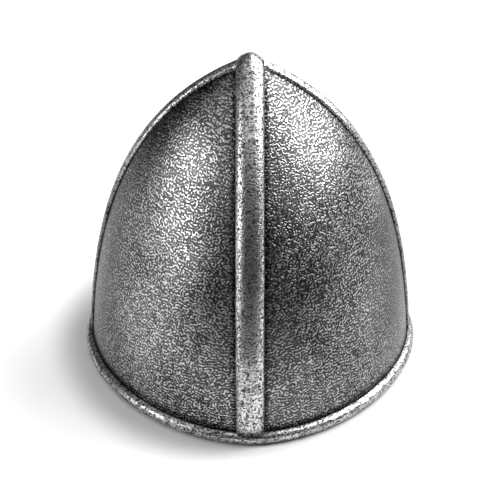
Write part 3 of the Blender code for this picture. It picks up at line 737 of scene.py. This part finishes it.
last_row = len(BAND_ROWS) - 1
piece(
    "brow_band_skin",
    shell("brow_band_skin", 180, last_row, band_rule(BROW_OUT, 1, 0.45 * MM), band_rule(BROW_OUT + BROW_T, -1, 0.45 * MM), wrap=True),
    BAND_LOOK, "root", ("brow_band",),
)
piece(
    "liner_band_skin",
    shell("liner_band_skin", 180, last_row, band_rule(LEATHER_OUT, 1, 1.1 * MM), band_rule(LEATHER_OUT + LEATHER_T - 0.1 * MM, -1, 1.1 * MM, 0.12 * MM), wrap=True),
    LINER_LEATHER_LOOK, "root", ("liner_band",),
)


def band_run(z):
    def rule(f):
        phi = 2 * math.pi * f
        s = s_at_height(z)
        at = dome(phi, s, LEATHER_OUT + LEATHER_T)
        return at, -dome_normal(*plan(phi, DOME_A * profile(s)[0], DOME_B * profile(s)[1], power_at(s)), s)

    return rule


stitches("liner_band_thread", [(band_run(11.4 * MM), 625 * MM, True), (band_run(21.4 * MM), 625 * MM, True)], 0.42 * MM, "root")

sections = []
for i in range(240):
    phi = 2 * math.pi * i / 240
    x, y = plan(phi, ROLL_A, ROLL_B)
    n = plan_normal(phi, ROLL_A, ROLL_B)
    centre = Vector((x, y, ROLL_Z - 0.3 * MM))
    sections.append([
        centre + n * (WIRE_R * math.cos(2 * math.pi * j / 14)) + Vector((0, 0, WIRE_R * math.sin(2 * math.pi * j / 14)))
        for j in range(14)
    ])
piece("rim_wire_skin", loft("rim_wire_skin", sections, closed=True), BAND_LOOK, "root", ("rim_wire",))

SHANK = BROW_T + LEATHER_T + 0.3 * MM + 0.6 * MM
for k in range(RIVETS):
    phi, s = 2 * math.pi * (k + 0.5) / RIVETS, s_at_height(RIVET_Z)
    at = dome(phi, s, BROW_OUT)
    place = facing(at, (dome(phi, s, 10 * MM) - at).normalized())
    name = f"liner_rivet_{k + 1}"
    run = [(0, 0.25 * MM), (1.2 * MM, 0.25 * MM), (1.2 * MM, SHANK), *dome_head(3.8 * MM, SHANK, 1.85 * MM)]
    piece(name + "_skin", lathe(run, [place], name + "_skin"), BRASS_LOOK, "root", (name,))

hanger_places = []
for sign in (1, -1):
    for y in (-8 * MM, 8 * MM):
        s = s_at_height(17 * MM)
        share = (abs(y) / (DOME_B * profile(s)[1])) ** power_at(s)
        x = DOME_A * profile(s)[0] * (1 - share) ** (1 / power_at(s)) - BROW_OUT
        hanger_places.append(facing(Vector((sign * x, y, 17 * MM)), Vector((-sign, 0, 0))))
HANGER_FACE = 92.3 * MM
for k, m in enumerate(hanger_places):
    place = Matrix.Translation(Vector((math.copysign(HANGER_FACE - GAP + 7.0 * MM, m.translation.x) - m.translation.x, 0, 0))) @ m
    name = f"hanger_rivet_{k + 1}"
    run = [(0, 0.25 * MM), (1.2 * MM, 0.25 * MM), (1.2 * MM, 7.0 * MM), *dome_head(2.9 * MM, 7.0 * MM, 1.35 * MM)]
    piece(name + "_skin", lathe(run, [place], name + "_skin"), BRASS_LOOK, "root", (name,))
for name, sign in (("left", 1), ("right", -1)):
    place = facing(Vector((sign * PIN_X, 0, PIN_Z)), Vector((0, 1, 0)))
    run = [
        (0, -14.6 * MM), (1.5 * MM, -14.5 * MM), (1.95 * MM, -14.2 * MM), (2.1 * MM, -13.8 * MM), (2.1 * MM, -13.0 * MM),
        (2.0 * MM, -12.9 * MM), (PIN_R, -12.9 * MM), (PIN_R, 12.9 * MM), (2.0 * MM, 12.9 * MM), (2.1 * MM, 13.0 * MM),
        (2.1 * MM, 13.8 * MM), (1.95 * MM, 14.2 * MM), (1.5 * MM, 14.5 * MM), (0, 14.6 * MM),
    ]
    pin = f"hanger_pin_{name}"
    piece(pin + "_skin", lathe(run, [place], pin + "_skin"), BRASS_LOOK, "root", (pin,))


# ------------------------------------------------------------------ quilted gores and crown pad
def gore_mid(phi, climb):
    if climb < 0.12:
        share, z = 1.0, GORE_Z0 + (GORE_Z1 - GORE_Z0) * climb / 0.12
    else:
        turn = math.radians(77.0) * (climb - 0.12) / 0.88
        share, z = math.cos(turn), GORE_Z1 + GORE_RISE * math.sin(turn)
    x, y = plan(phi, GORE_A * share, GORE_B * share)
    return Vector((x, y, z))


def gore_point(middle, u, v):
    near = gore_mid(middle, v)
    half = math.pi / GORES - math.asin(min(0.9, 1.1 * MM / math.hypot(near.x, near.y)))
    return gore_mid(middle + (2 * u - 1) * half, v)


def gore_frame(middle, u, v):
    """The mid surface's point, and its normal away from the head."""
    e = 1e-3
    du = gore_point(middle, u + e, v) - gore_point(middle, u - e, v)
    low, high = max(0.0, v - e), min(1.0, v + e)
    dv = gore_point(middle, u, high) - gore_point(middle, u, low)
    at = gore_point(middle, u, v)
    n = du.cross(dv).normalized()
    return at, n if n.dot(at - Vector((0, 0, 30 * MM))) > 0 else -n


CELLS = 4                      # padded channels in each gore
GORE_COLUMNS, GORE_ROWS = 32, 46


def inflate(mesh, pins, pressure, cap, frames=20):
    """Swells a stuffed mesh with a cloth run: the pinned points hold, and no other point moves more than cap."""
    test = bpy.data.objects.new("stuffing", mesh.copy())
    bpy.context.scene.collection.objects.link(test)
    test.vertex_groups.new(name="pins").add(pins, 1.0, "ADD")
    cloth = test.modifiers.new("stuffing", "CLOTH")
    settings = cloth.settings
    settings.quality = 6
    settings.mass = 0.0004
    settings.use_pressure = True
    settings.uniform_pressure_force = pressure
    settings.vertex_group_mass = "pins"
    settings.effector_weights.gravity = 0.0
    settings.tension_stiffness = settings.compression_stiffness = 4.0
    settings.shear_stiffness = 2.0
    settings.bending_stiffness = 0.02
    cloth.collision_settings.use_collision = False
    cloth.point_cache.frame_start, cloth.point_cache.frame_end = 1, frames
    for number in range(1, frames + 1):
        bpy.context.scene.frame_set(number)
    moved = test.evaluated_get(bpy.context.evaluated_depsgraph_get()).data
    steps = []
    for v, w in zip(mesh.vertices, moved.vertices):
        step = w.co - v.co
        if not all(math.isfinite(c) for c in step):
            step = Vector((0, 0, 0))
        steps.append(step.length)
        if step.length > cap:
            step = step * (cap / step.length)
        v.co += step
    print("swelled", mesh.name, "mean", round(sum(steps) / len(steps) / MM, 3), "mm, most", round(max(steps) / MM, 3), "mm")
    scratch = test.data
    bpy.data.objects.remove(test)
    bpy.data.meshes.remove(scratch)
    bpy.context.scene.frame_set(1)


def gore_mesh(name, middle):
    columns, rows = GORE_COLUMNS, GORE_ROWS
    points, pins, faces = [], [], []
    for side in (1, -1):
        for j in range(rows + 1):
            v = j / rows
            width = (gore_point(middle, 1, v) - gore_point(middle, 0, v)).length
            reach = min(v * 175 * MM, (1 - v) * 175 * MM)
            ends = min(1.0, reach / (5 * MM)) ** 0.5
            for i in range(columns + 1):
                u = i / columns
                at, n = gore_frame(middle, u, v)
                cell = math.sin(math.pi * ((CELLS * u) % 1.0)) if i % (columns // CELLS) else 0.0
                at_edge = i in (0, columns) or j in (0, rows)
                least = 0.55 * MM if at_edge else 0.9 * MM
                full = min(2.7 * MM, least + width / CELLS * 0.22)
                half = least + (full - least) * cell ** 0.6 * ends
                if side < 0 and not at_edge:
                    # the face towards the head is softer, with small slow hollows
                    half += 0.25 * MM * noise.noise(at * 120) * cell
                index = len(points)
                points.append(at + n * (side * half))
                if at_edge or cell == 0.0:
                    pins.append(index)
    across = columns + 1
    total = across * (rows + 1)

    def at_index(i, j, side):
        return side * total + j * across + i

    for j in range(rows):
        for i in range(columns):
            for side in (0, 1):
                faces.append((at_index(i, j, side), at_index(i + 1, j, side), at_index(i + 1, j + 1, side), at_index(i, j + 1, side)))
    for i in range(columns):
        for j in (0, rows):
            faces.append((at_index(i, j, 0), at_index(i + 1, j, 0), at_index(i + 1, j, 1), at_index(i, j, 1)))
    for j in range(rows):
        for i in (0, columns):
            faces.append((at_index(i, j, 0), at_index(i, j + 1, 0), at_index(i, j + 1, 1), at_index(i, j, 1)))
    mesh = mesh_from(name, points, faces)
    inflate(mesh, pins, 60.0, 1.1 * MM)
    return mesh


def subdivided(obj, levels=1):
    sub = obj.modifiers.new("soft", "SUBSURF")
    sub.levels = sub.render_levels = levels
    applied = bpy.data.meshes.new_from_object(obj.evaluated_get(bpy.context.evaluated_depsgraph_get()))
    obj.modifiers.remove(sub)
    old, applied.name = obj.data, obj.data.name
    obj.data = applied
    bpy.data.meshes.remove(old)
    return obj


def mirrored(mesh, name, sx, sy):
    copy = mesh.copy()
    copy.name = name
    copy.transform(Matrix.Diagonal((sx, sy, 1, 1)))
    if sx * sy < 0:
        copy.flip_normals()
    return copy


first = {"a": gore_mesh("gore_a", 2 * math.pi * 0.5 / GORES), "b": gore_mesh("gore_b", 2 * math.pi * 1.5 / GORES)}
for number, source, sx, sy in (
    (1, "a", 1, 1), (2, "b", 1, 1), (3, "b", -1, 1), (4, "a", -1, 1),
    (5, "a", -1, -1), (6, "b", -1, -1), (7, "b", 1, -1), (8, "a", 1, -1),
):
    name = f"liner_gore_{number}"
    obj = piece(name + "_pad", mirrored(first[source], name + "_pad", sx, sy), LINEN_LOOK, "root", (name,), angle=0)
    subdivided(obj)
for mesh in first.values():
    bpy.data.meshes.remove(mesh)


def channel_run(middle, u, offset):
    def rule(f):
        at, n = gore_frame(middle, u, 0.03 + 0.94 * f)
        return at - n * offset, -n

    return rule


runs = []
for k in range(GORES):
    middle = 2 * math.pi * (k + 0.5) / GORES
    for c in range(1, CELLS):
        runs.append((channel_run(middle, c / CELLS, 0.95 * MM), 150 * MM, False))
stitches("quilting_thread", runs, 0.34 * MM, "root")

TOP = gore_mid(0, 1.0).z - GORE_T / 2
CROWN_STEPS, CROWN_RINGS = 64, 12
points, faces, pins = [], [], []
for side in (1, -1):
    for j in range(CROWN_RINGS + 1):
        f = j / CROWN_RINGS
        radius = 24.0 * MM * f if j else 0.0
        for i in range(CROWN_STEPS):
            a = 2 * math.pi * i / CROWN_STEPS
            ray = i % (CROWN_STEPS // 8) == 0
            wave = abs(math.sin(4 * a)) ** 0.6
            edge = math.sqrt(max(0.0, 1 - f ** 3))
            tuft = min(1.0, f / 0.22)
            half = 0.5 * MM + edge * tuft * (0.7 * MM + 0.9 * MM * wave)
            middle_z = TOP - 4.6 * MM + 1.4 * MM * f * f
            index = len(points)
            points.append(Vector((radius * math.cos(a), radius * math.sin(a), middle_z + side * half)))
            if ray or j in (0, CROWN_RINGS):
                pins.append(index)
ring_total = CROWN_STEPS * (CROWN_RINGS + 1)
for side in (0, 1):
    for j in range(CROWN_RINGS):
        for i in range(CROWN_STEPS):
            k = (i + 1) % CROWN_STEPS
            a, b = side * ring_total + j * CROWN_STEPS, side * ring_total + (j + 1) * CROWN_STEPS
            faces.append((a + i, a + k, b + k, b + i))
for i in range(CROWN_STEPS):
    k = (i + 1) % CROWN_STEPS
    a, b = CROWN_RINGS * CROWN_STEPS, ring_total + CROWN_RINGS * CROWN_STEPS
    faces.append((a + i, a + k, b + k, b + i))
mesh = bpy.data.meshes.new("crown_pad_cover")
bm = bmesh.new()
made = [bm.verts.new(p) for p in points]
for f in faces:
    bm.faces.new([made[i] for i in f])
held = {made[i] for i in pins}
layer = bm.verts.layers.int.new("held")
for v in bm.verts:
    v[layer] = int(v in held)
bmesh.ops.remove_doubles(bm, verts=bm.verts, dist=1e-6)
bmesh.ops.recalc_face_normals(bm, faces=bm.faces)
held = [v.index for v in sorted(bm.verts, key=lambda v: v.index)]
bm.verts.index_update()
held = [v.index for v in bm.verts if v[layer]]
bm.to_mesh(mesh)
bm.free()
mesh.attributes.remove(mesh.attributes["held"])
inflate(mesh, held, 4.0, 0.7 * MM)
crown = piece("crown_pad_cover", mesh, LINEN_LOOK, "root", ("crown_pad",), angle=0)
subdivided(crown)


def crown_run(angle):
    def rule(f):
        r = (3.5 + 17.5 * f) * MM
        share = r / (24 * MM)
        z = TOP - 4.6 * MM + 1.4 * MM * share * share - 0.5 * MM - math.sqrt(1 - share ** 3) * min(1.0, share / 0.22) * 0.7 * MM
        return Vector((r * math.cos(angle), r * math.sin(angle), z - 0.05 * MM)), Vector((0, 0, -1))

    return rule


stitches("crown_thread", [(crown_run(2 * math.pi * k / 8), 18 * MM, False) for k in range(8)], 0.32 * MM, "root", gap=1.0 * MM, length=2.6 * MM)


# ------------------------------------------------------------------ chin straps
def sideways(u):
    start = 8 * MM
    if u <= start:
        return 0.0
    if u < 28 * MM:
        return math.tan(SKEW) * (u - start) ** 2 / (2 * 20 * MM)
    return math.tan(SKEW) * (u - 18 * MM)


def arc(x, z, radius, first, last, count):
    return [
        (x + radius * math.cos(math.radians(first + (last - first) * i / count)),
         z + radius * math.sin(math.radians(first + (last - first) * i / count)))
        for i in range(count + 1)
    ]


def smooth_path(legs, spacing=0.9):
    """Points of (u, z, thickness) in mm. A leg marked as fixed keeps its points; the straight ones ease into them."""
    path = []
    for fixed, leg in legs:
        if fixed:
            path += [(*p, True) for p in leg]
            continue
        for a, b in zip(leg, leg[1:]):
            count = max(1, int(math.hypot(b[0] - a[0], b[1] - a[1]) / spacing))
            path += [(*[a[i] + (b[i] - a[i]) * n / count for i in range(3)], False) for n in range(count)]
        path.append((*leg[-1], False))
    tidy = [path[0]]
    for p in path[1:]:
        if math.hypot(p[0] - tidy[-1][0], p[1] - tidy[-1][1]) > 0.2:
            tidy.append(p)
    for _ in range(12):
        eased = [tidy[0]]
        for a, p, b in zip(tidy, tidy[1:], tidy[2:]):
            eased.append(p if p[3] else ((a[0] + 2 * p[0] + b[0]) / 4, (a[1] + 2 * p[1] + b[1]) / 4, (a[2] + 2 * p[2] + b[2]) / 4, False))
        tidy = eased + [tidy[-1]]
    return [p[:3] for p in tidy]


def strap_section(half_w, half_t):
    """Round-edged section of (across, up), with a shallow line along each edge for the stitching."""
    edge = min(0.75 * MM, half_t * 0.75)
    run = []
    for x, dip in (
        (-1.0, None), (-0.86, 0.0), (-0.825, 0.10), (-0.79, 0.0), (-0.45, -0.04), (0.0, -0.06), (0.45, -0.04),
        (0.79, 0.0), (0.825, 0.10), (0.86, 0.0), (1.0, None),
    ):
        if dip is None:
            corner = [
                (math.copysign(half_w - edge + edge * math.sin(a), x), half_t - edge + edge * math.cos(a))
                for a in (math.radians(d) for d in (10, 35, 60, 85))
            ]
            run += corner[::-1] if x < 0 else corner
        else:
            run.append((x * half_w, half_t - dip * MM))
    return run + [(-x, -z) for x, z in run]


def strap_point(sign, u, across, z, length, eye):
    """Where a point of the strap lies. u is the distance from the pin, square to it."""
    drift = sideways(u)
    if eye:
        turn = min(1.0, max(0.0, (u - 46 * MM) / (6 * MM)))
        turn = turn * turn * (3 - 2 * turn)
        drift += (sideways(length) + (u - length) * math.tan(SKEW) - drift) * turn
        u = u - across * math.sin(SKEW) * turn
        across = across * (1 + (math.cos(SKEW) - 1) * turn)
    return Vector((sign * (PIN_X - u), across + (drift if sign > 0 else -drift), z))


def strap_width(u, length, pointed):
    if not pointed or u < length - 13 * MM:
        return 1.0
    f = min(1.0, (u - (length - 13 * MM)) / (13 * MM))
    return max(0.10, (1 - f ** 2.1) ** 0.62)


def strap_mesh(name, path, sign, length, pointed):
    sections = []
    for k, (u, z, t) in enumerate(path):
        a, b = path[max(0, k - 1)], path[min(len(path) - 1, k + 1)]
        run = math.hypot(b[0] - a[0], b[1] - a[1])
        nu, nz = -(b[1] - a[1]) / run, (b[0] - a[0]) / run
        width = strap_width(u * MM, length, pointed)
        section = []
        for x, h in strap_section(STRAP_W / 2 * width, t * MM / 2):
            p = strap_point(sign, u * MM + nu * h, x, z * MM + nz * h, length, not pointed)
            section.append(p + Vector((0, 0, 1)) * (uneven(p, 0.05 * MM, 160.0, 3.0) if p.z > 1.0 * MM else 0.0))
        sections.append(section)
    return loft(name, sections)


ROUND_PIN = [(*p, 2.2) for p in arc(0, 12.5, 2.6, -100, -300, 18)]
tip = []
for n in range(1, 15):
    f = 1 - (1 - n / 14) ** 1.8
    tip.append((145 + 13 * f, 1.4, 2.2 - 0.5 * f))
right_path = smooth_path([
    (False, [(20.4, 2.15, 1.2), (19.0, 2.8, 2.2), (5.66, 8.9, 2.2), ROUND_PIN[0]]),
    (True, ROUND_PIN),
    (False, [ROUND_PIN[-1], (6.4, 11.75, 2.2), (24.3, 3.9, 2.2), (30.2, 2.0, 2.2), (42, 1.4, 2.2), (60, 1.4, 2.2)]),
    (False, [(62, 1.4, 2.2), (145, 1.4, 2.2)]),
    (True, tip),
])
ROUND_BAR = [(*p, 1.7) for p in arc(60, 4.1, 2.55, -94, 110, 20)]
left_path = smooth_path([
    (False, [(20.4, 2.15, 1.2), (19.0, 2.8, 2.2), (5.66, 8.9, 2.2), ROUND_PIN[0]]),
    (True, ROUND_PIN),
    (False, [ROUND_PIN[-1], (6.4, 11.75, 2.2), (24.3, 3.9, 2.2), (30.2, 2.0, 2.2), (42, 1.4, 2.2), (47, 1.35, 2.1), (50, 1.2, 1.7), ROUND_BAR[0]]),
    (True, ROUND_BAR),
    (False, [ROUND_BAR[-1], (50, 3.0, 1.5), (46.5, 2.78, 0.5)]),
])
BUCKLE = (
    Matrix.Translation(Vector((PIN_X - LEFT_LENGTH, sideways(LEFT_LENGTH), BAR_Z)))
    @ Matrix.Rotation(math.pi - SKEW, 4, "Z")
    @ Matrix.Rotation(-BUCKLE_TILT, 4, "Y")
)


def carved(obj, cutters):
    """obj with each cutter mesh taken out of it, applied."""
    for number, mesh in enumerate(cutters):
        tool = bpy.data.objects.new(f"tool_{number}", mesh)
        bpy.context.scene.collection.objects.link(tool)
        boolean = obj.modifiers.new("cut", "BOOLEAN")
        boolean.operation, boolean.solver, boolean.object = "DIFFERENCE", "EXACT", tool
        done = bpy.data.meshes.new_from_object(obj.evaluated_get(bpy.context.evaluated_depsgraph_get()))
        obj.modifiers.remove(boolean)
        old, done.name = obj.data, obj.data.name
        obj.data = done
        bpy.data.meshes.remove(old)
        bpy.data.objects.remove(tool)
        bpy.data.meshes.remove(mesh)
    obj.data.shade_smooth()
    obj.data.set_sharp_from_angle(angle=math.radians(40))


strap_r = piece(
    "chin_strap_right_leather", strap_mesh("chin_strap_right_leather", right_path, -1, RIGHT_LENGTH, True),
    STRAP_LOOK, "strap_right", ("chin_strap_right",),
)
HOLES = (92, 104, 116, 128, 140)
carved(strap_r, [lathe(
    [(0, -5 * MM), (1.7 * MM, -5 * MM), (1.7 * MM, 9 * MM), (0, 9 * MM)],
    [Matrix.Translation(strap_point(-1, u * MM, 0.0, 1.4 * MM, RIGHT_LENGTH, False))], "hole", 20,
) for u in HOLES])
strap_l = piece(
    "chin_strap_left_leather", strap_mesh("chin_strap_left_leather", left_path, 1, LEFT_LENGTH, False),
    STRAP_LOOK, "strap_left", ("chin_strap_left",),
)
bm = bmesh.new()
bmesh.ops.create_cube(bm, size=1.0)
bmesh.ops.transform(bm, matrix=BUCKLE @ Matrix.Diagonal((15 * MM, 5.6 * MM, 14 * MM, 1)), verts=bm.verts)
slot_mesh = bpy.data.meshes.new("slot")
bm.to_mesh(slot_mesh)
bm.free()
carved(strap_l, [slot_mesh])


def edge_run(sign, path, first, last, side, face, length, eye):
    """Stitches along one edge of a strap, between two distances along its top layer."""
    part = [p for p in path if True]
    turn = max(range(len(part)), key=lambda i: part[i][1])
    part = [p for p in part[turn:] if first <= p[0] <= last]
    if eye:
        cut_at = max(range(len(part)), key=lambda i: part[i][0])
        part = part[: cut_at + 1]
    lengths = [0.0]
    for a, b in zip(part, part[1:]):
        lengths.append(lengths[-1] + math.hypot(b[0] - a[0], b[1] - a[1]))

    def rule(f):
        want = f * lengths[-1]
        k = min(len(lengths) - 2, max(0, bisect.bisect_right(lengths, want) - 1))
        share = (want - lengths[k]) / (lengths[k + 1] - lengths[k])
        a, b = part[k], part[k + 1]
        u, z, t = (a[i] + (b[i] - a[i]) * share for i in range(3))
        run = math.hypot(b[0] - a[0], b[1] - a[1])
        nu, nz = -(b[1] - a[1]) / run * face, (b[0] - a[0]) / run * face
        h = t / 2 - (0.02 if face > 0 else 0.24)
        at = strap_point(sign, (u + nu * h) * MM, side * STRAP_W / 2 * 0.825, (z + nz * h) * MM, length, eye)
        return at, Vector((-sign * nu, 0, nz)).normalized()

    return rule, lengths[-1] * MM, False


runs = [edge_run(-1, right_path, 8.5, 142, side, face, RIGHT_LENGTH, False) for side in (-1, 1) for face in (-1, 1) if face > 0]
runs += [edge_run(-1, right_path, 25, 142, side, -1, RIGHT_LENGTH, False) for side in (-1, 1)]
stitches("strap_thread_right", runs, 0.36 * MM, "strap_right", gap=1.3 * MM, length=2.9 * MM)
runs = [edge_run(1, left_path, 8.5, 45, side, 1, LEFT_LENGTH, True) for side in (-1, 1)]
runs += [edge_run(1, left_path, 25, 47, side, -1, LEFT_LENGTH, True) for side in (-1, 1)]
stitches("strap_thread_left", runs, 0.36 * MM, "strap_left", gap=1.3 * MM, length=2.9 * MM)

fold = [(0, -3.8 * MM)]
for i in range(1, 7):
    a = math.pi / 2 * i / 6
    fold.append((3.2 * MM * math.sin(a), -2.95 * MM - 0.85 * MM * math.cos(a)))
fold += [(3.15 * MM, -2.85 * MM), (1.2 * MM, -2.85 * MM)]
fold += [(r, -z) for r, z in fold[::-1]]
for name, sign in (("left", 1), ("right", -1)):
    slope = Vector((-sign * 19, 0, -8.1)).normalized()
    up = Vector((-slope.z * -sign, 0, slope.x * -sign))
    up = up if up.z > 0 else -up
    at = Vector((sign * (PIN_X - 13 * MM), sign * sideways(13 * MM), 7.03 * MM))
    rivet = f"strap_rivet_{name}"
    piece(rivet + "_skin", lathe(fold, [facing(at, up)], rivet + "_skin"), BRASS_LOOK, f"strap_{name}", (rivet,))

# ------------------------------------------------------------------ buckle
corner = 3.5 * MM
corners = []
for cx, cy, first in (
    (corner * 0.4, -BUCKLE_HALF_W + corner * 0.4, 180), (BUCKLE_L - corner, -BUCKLE_HALF_W + corner, 270),
    (BUCKLE_L - corner, BUCKLE_HALF_W - corner, 0), (corner * 0.4, BUCKLE_HALF_W - corner * 0.4, 90),
):
    radius = corner * 0.4 if cx < 5 * MM else corner
    for i in range(10):
        a = math.radians(first + 10 * i)
        corners.append(Vector((cx + radius * math.cos(a), cy + radius * math.sin(a), 0)))
outline = []
for a, b in zip(corners, corners[1:] + corners[:1]):
    count = max(1, int((b - a).length / (1.0 * MM)))
    outline += [a + (b - a) * n / count for n in range(count)]
sections = []
for k, p in enumerate(outline):
    tangent = (outline[(k + 1) % len(outline)] - outline[k - 1]).normalized()
    side = Vector((tangent.y, -tangent.x, 0))
    radius = BAR_R * (0.97 + 0.03 * noise.noise(p * 300))
    sections.append([
        BUCKLE @ (p + side * (radius * math.cos(2 * math.pi * i / 16)) + Vector((0, 0, radius * math.sin(2 * math.pi * i / 16))))
        for i in range(16)
    ])
piece("buckle_frame_skin", loft("buckle_frame_skin", sections, closed=True), BRASS_LOOK, "buckle", ("buckle_frame",))

# ------------------------------------------------------------------ CAD nodes that keep their shape
LOOKS = {
    "shell_steel": PLATE_LOOK, "rib_steel": RIM_LOOK, "band_steel": BAND_LOOK, "strap_leather": STRAP_LOOK,
    "liner_leather": LINER_LEATHER_LOOK, "liner_linen": LINEN_LOOK, "fittings_brass": BRASS_LOOK,
}
slots = {s["node"]: s["material_slot"] for s in frame["record"]["subparts"]}
for name, node in NODES.items():
    node.data.materials.clear()
    node.data.materials.append(LOOKS[slots[name]])
for name, width in (("strap_hanger_left", 0.35), ("strap_hanger_right", 0.35), ("buckle_prong", 0.28)):
    bevel = NODES[name].modifiers.new("worn_edges", "BEVEL")
    bevel.width, bevel.segments, bevel.limit_method, bevel.angle_limit = width * MM, 3, "ANGLE", math.radians(35)

# ------------------------------------------------------------------ stage
bm = bmesh.new()
bmesh.ops.create_grid(bm, x_segments=2, y_segments=2, size=6.0)
floor_mesh = bpy.data.meshes.new("studio_floor")
bm.to_mesh(floor_mesh)
bm.free()
paper = bpy.data.materials.new("white_paper")
paper.use_nodes = True
paper_shader = paper.node_tree.nodes["Principled BSDF"]
paper_shader.inputs["Base Color"].default_value = (0.80, 0.80, 0.80, 1)
paper_shader.inputs["Roughness"].default_value = 0.9
paper_shader.inputs["Specular IOR Level"].default_value = 0.1
paper_shader.inputs["Emission Color"].default_value = (1, 1, 1, 1)
nodes, links = paper.node_tree.nodes, paper.node_tree.links
place = nodes.new("ShaderNodeSeparateXYZ")
links.new(nodes.new("ShaderNodeTexCoord").outputs["Object"], place.inputs[0])
# painted shade: the floor's colour and glow fade out toward the camera, so the metal reflects a dark floor there
for socket, near, far in (("Base Color", 0.74, 0.20), ("Emission Color", 1.0, 0.02)):
    fade = nodes.new("ShaderNodeMapRange")
    fade.interpolation_type = "SMOOTHSTEP"
    for slot_in, value in zip(fade.inputs[1:5], (-0.62, -0.27, far, near)):
        slot_in.default_value = value
    links.new(place.outputs[1], fade.inputs[0])
    links.new(fade.outputs["Result"], paper_shader.inputs[socket])
flat = nodes.new("ShaderNodeVectorMath")
flat.operation = "MULTIPLY"
flat.inputs[1].default_value = (1 / HALF_W, 1 / HALF_L, 0)
links.new(place.inputs[0].links[0].from_socket, flat.inputs[0])
away = nodes.new("ShaderNodeVectorMath")
away.operation = "LENGTH"
links.new(flat.outputs[0], away.inputs[0])
# painted light: the floor glows though no lamp, least next to the rim, which paints a shadow round the base
painted_floor_glow = nodes.new("ShaderNodeMapRange")
painted_floor_glow.interpolation_type = "SMOOTHSTEP"
for slot_in, value in zip(painted_floor_glow.inputs[1:5], (1.0, 1.28, 0.02, 0.44)):
    slot_in.default_value = value
links.new(away.outputs["Value"], painted_floor_glow.inputs[0])
links.new(painted_floor_glow.outputs["Result"], paper_shader.inputs["Emission Strength"])
floor_mesh.materials.append(paper)
floor = bpy.data.objects.new("studio_floor", floor_mesh)
floor.location.z = -0.0002
bpy.context.scene.collection.objects.link(floor)

scene = bpy.context.scene
scene.view_settings.view_transform = "Standard"
world = bpy.data.worlds.new("studio")
scene.world = world
world.use_nodes = True
tree = world.node_tree
background = tree.nodes["Background"]
path = tree.nodes.new("ShaderNodeLightPath")
shade = tree.nodes.new("ShaderNodeMix")
shade.data_type = "RGBA"
shade.inputs[6].default_value = (0.05, 0.05, 0.05, 1)
shade.inputs[7].default_value = (1.0, 1.0, 1.0, 1)
tree.links.new(path.outputs["Is Camera Ray"], shade.inputs[0])
tree.links.new(shade.outputs[2], background.inputs["Color"])


def softbox(name, azimuth, elevation, distance, width, height, radiance, target=(0, 0, 0.09)):
    """Azimuth 0 is the camera's side and 90 its right."""
    a, e = math.radians(azimuth), math.radians(elevation)
    direction = Vector((math.sin(a) * math.cos(e), -math.cos(a) * math.cos(e), math.sin(e)))
    light = bpy.data.lights.new(name, "AREA")
    light.shape = "RECTANGLE"
    light.size, light.size_y = width, height
    light.energy = radiance * math.pi * width * height
    obj = bpy.data.objects.new(name, light)
    obj.location = Vector(target) + direction * distance
    obj.rotation_mode = "QUATERNION"
    obj.rotation_quaternion = direction.to_track_quat("Z", "Y")
    scene.collection.objects.link(obj)
    return obj


softbox("key_right", 112, 41, 1.6, 1.6, 1.2, 8.0)
softbox("fill_left", -73, 22, 1.4, 0.60, 0.80, 5.2)
softbox("back_wash", 165, 30, 1.8, 1.2, 0.7, 0.6)
softbox("overhead", 0, 89, 1.7, 2.2, 2.2, 0.9)

camera = bpy.data.cameras.new("camera")
camera.sensor_width = 36.0
camera.lens = 36.0 * 3401.7 / 500
camera.clip_start, camera.clip_end = 0.1, 50
tilt = math.radians(32.63)
cam = bpy.data.objects.new("camera", camera)
cam.location = (0, -2.2 * math.cos(tilt), 0.0676 + 2.2 * math.sin(tilt))
cam.rotation_euler = (math.pi / 2 - tilt, 0, 0)
scene.collection.objects.link(cam)
scene.camera = cam
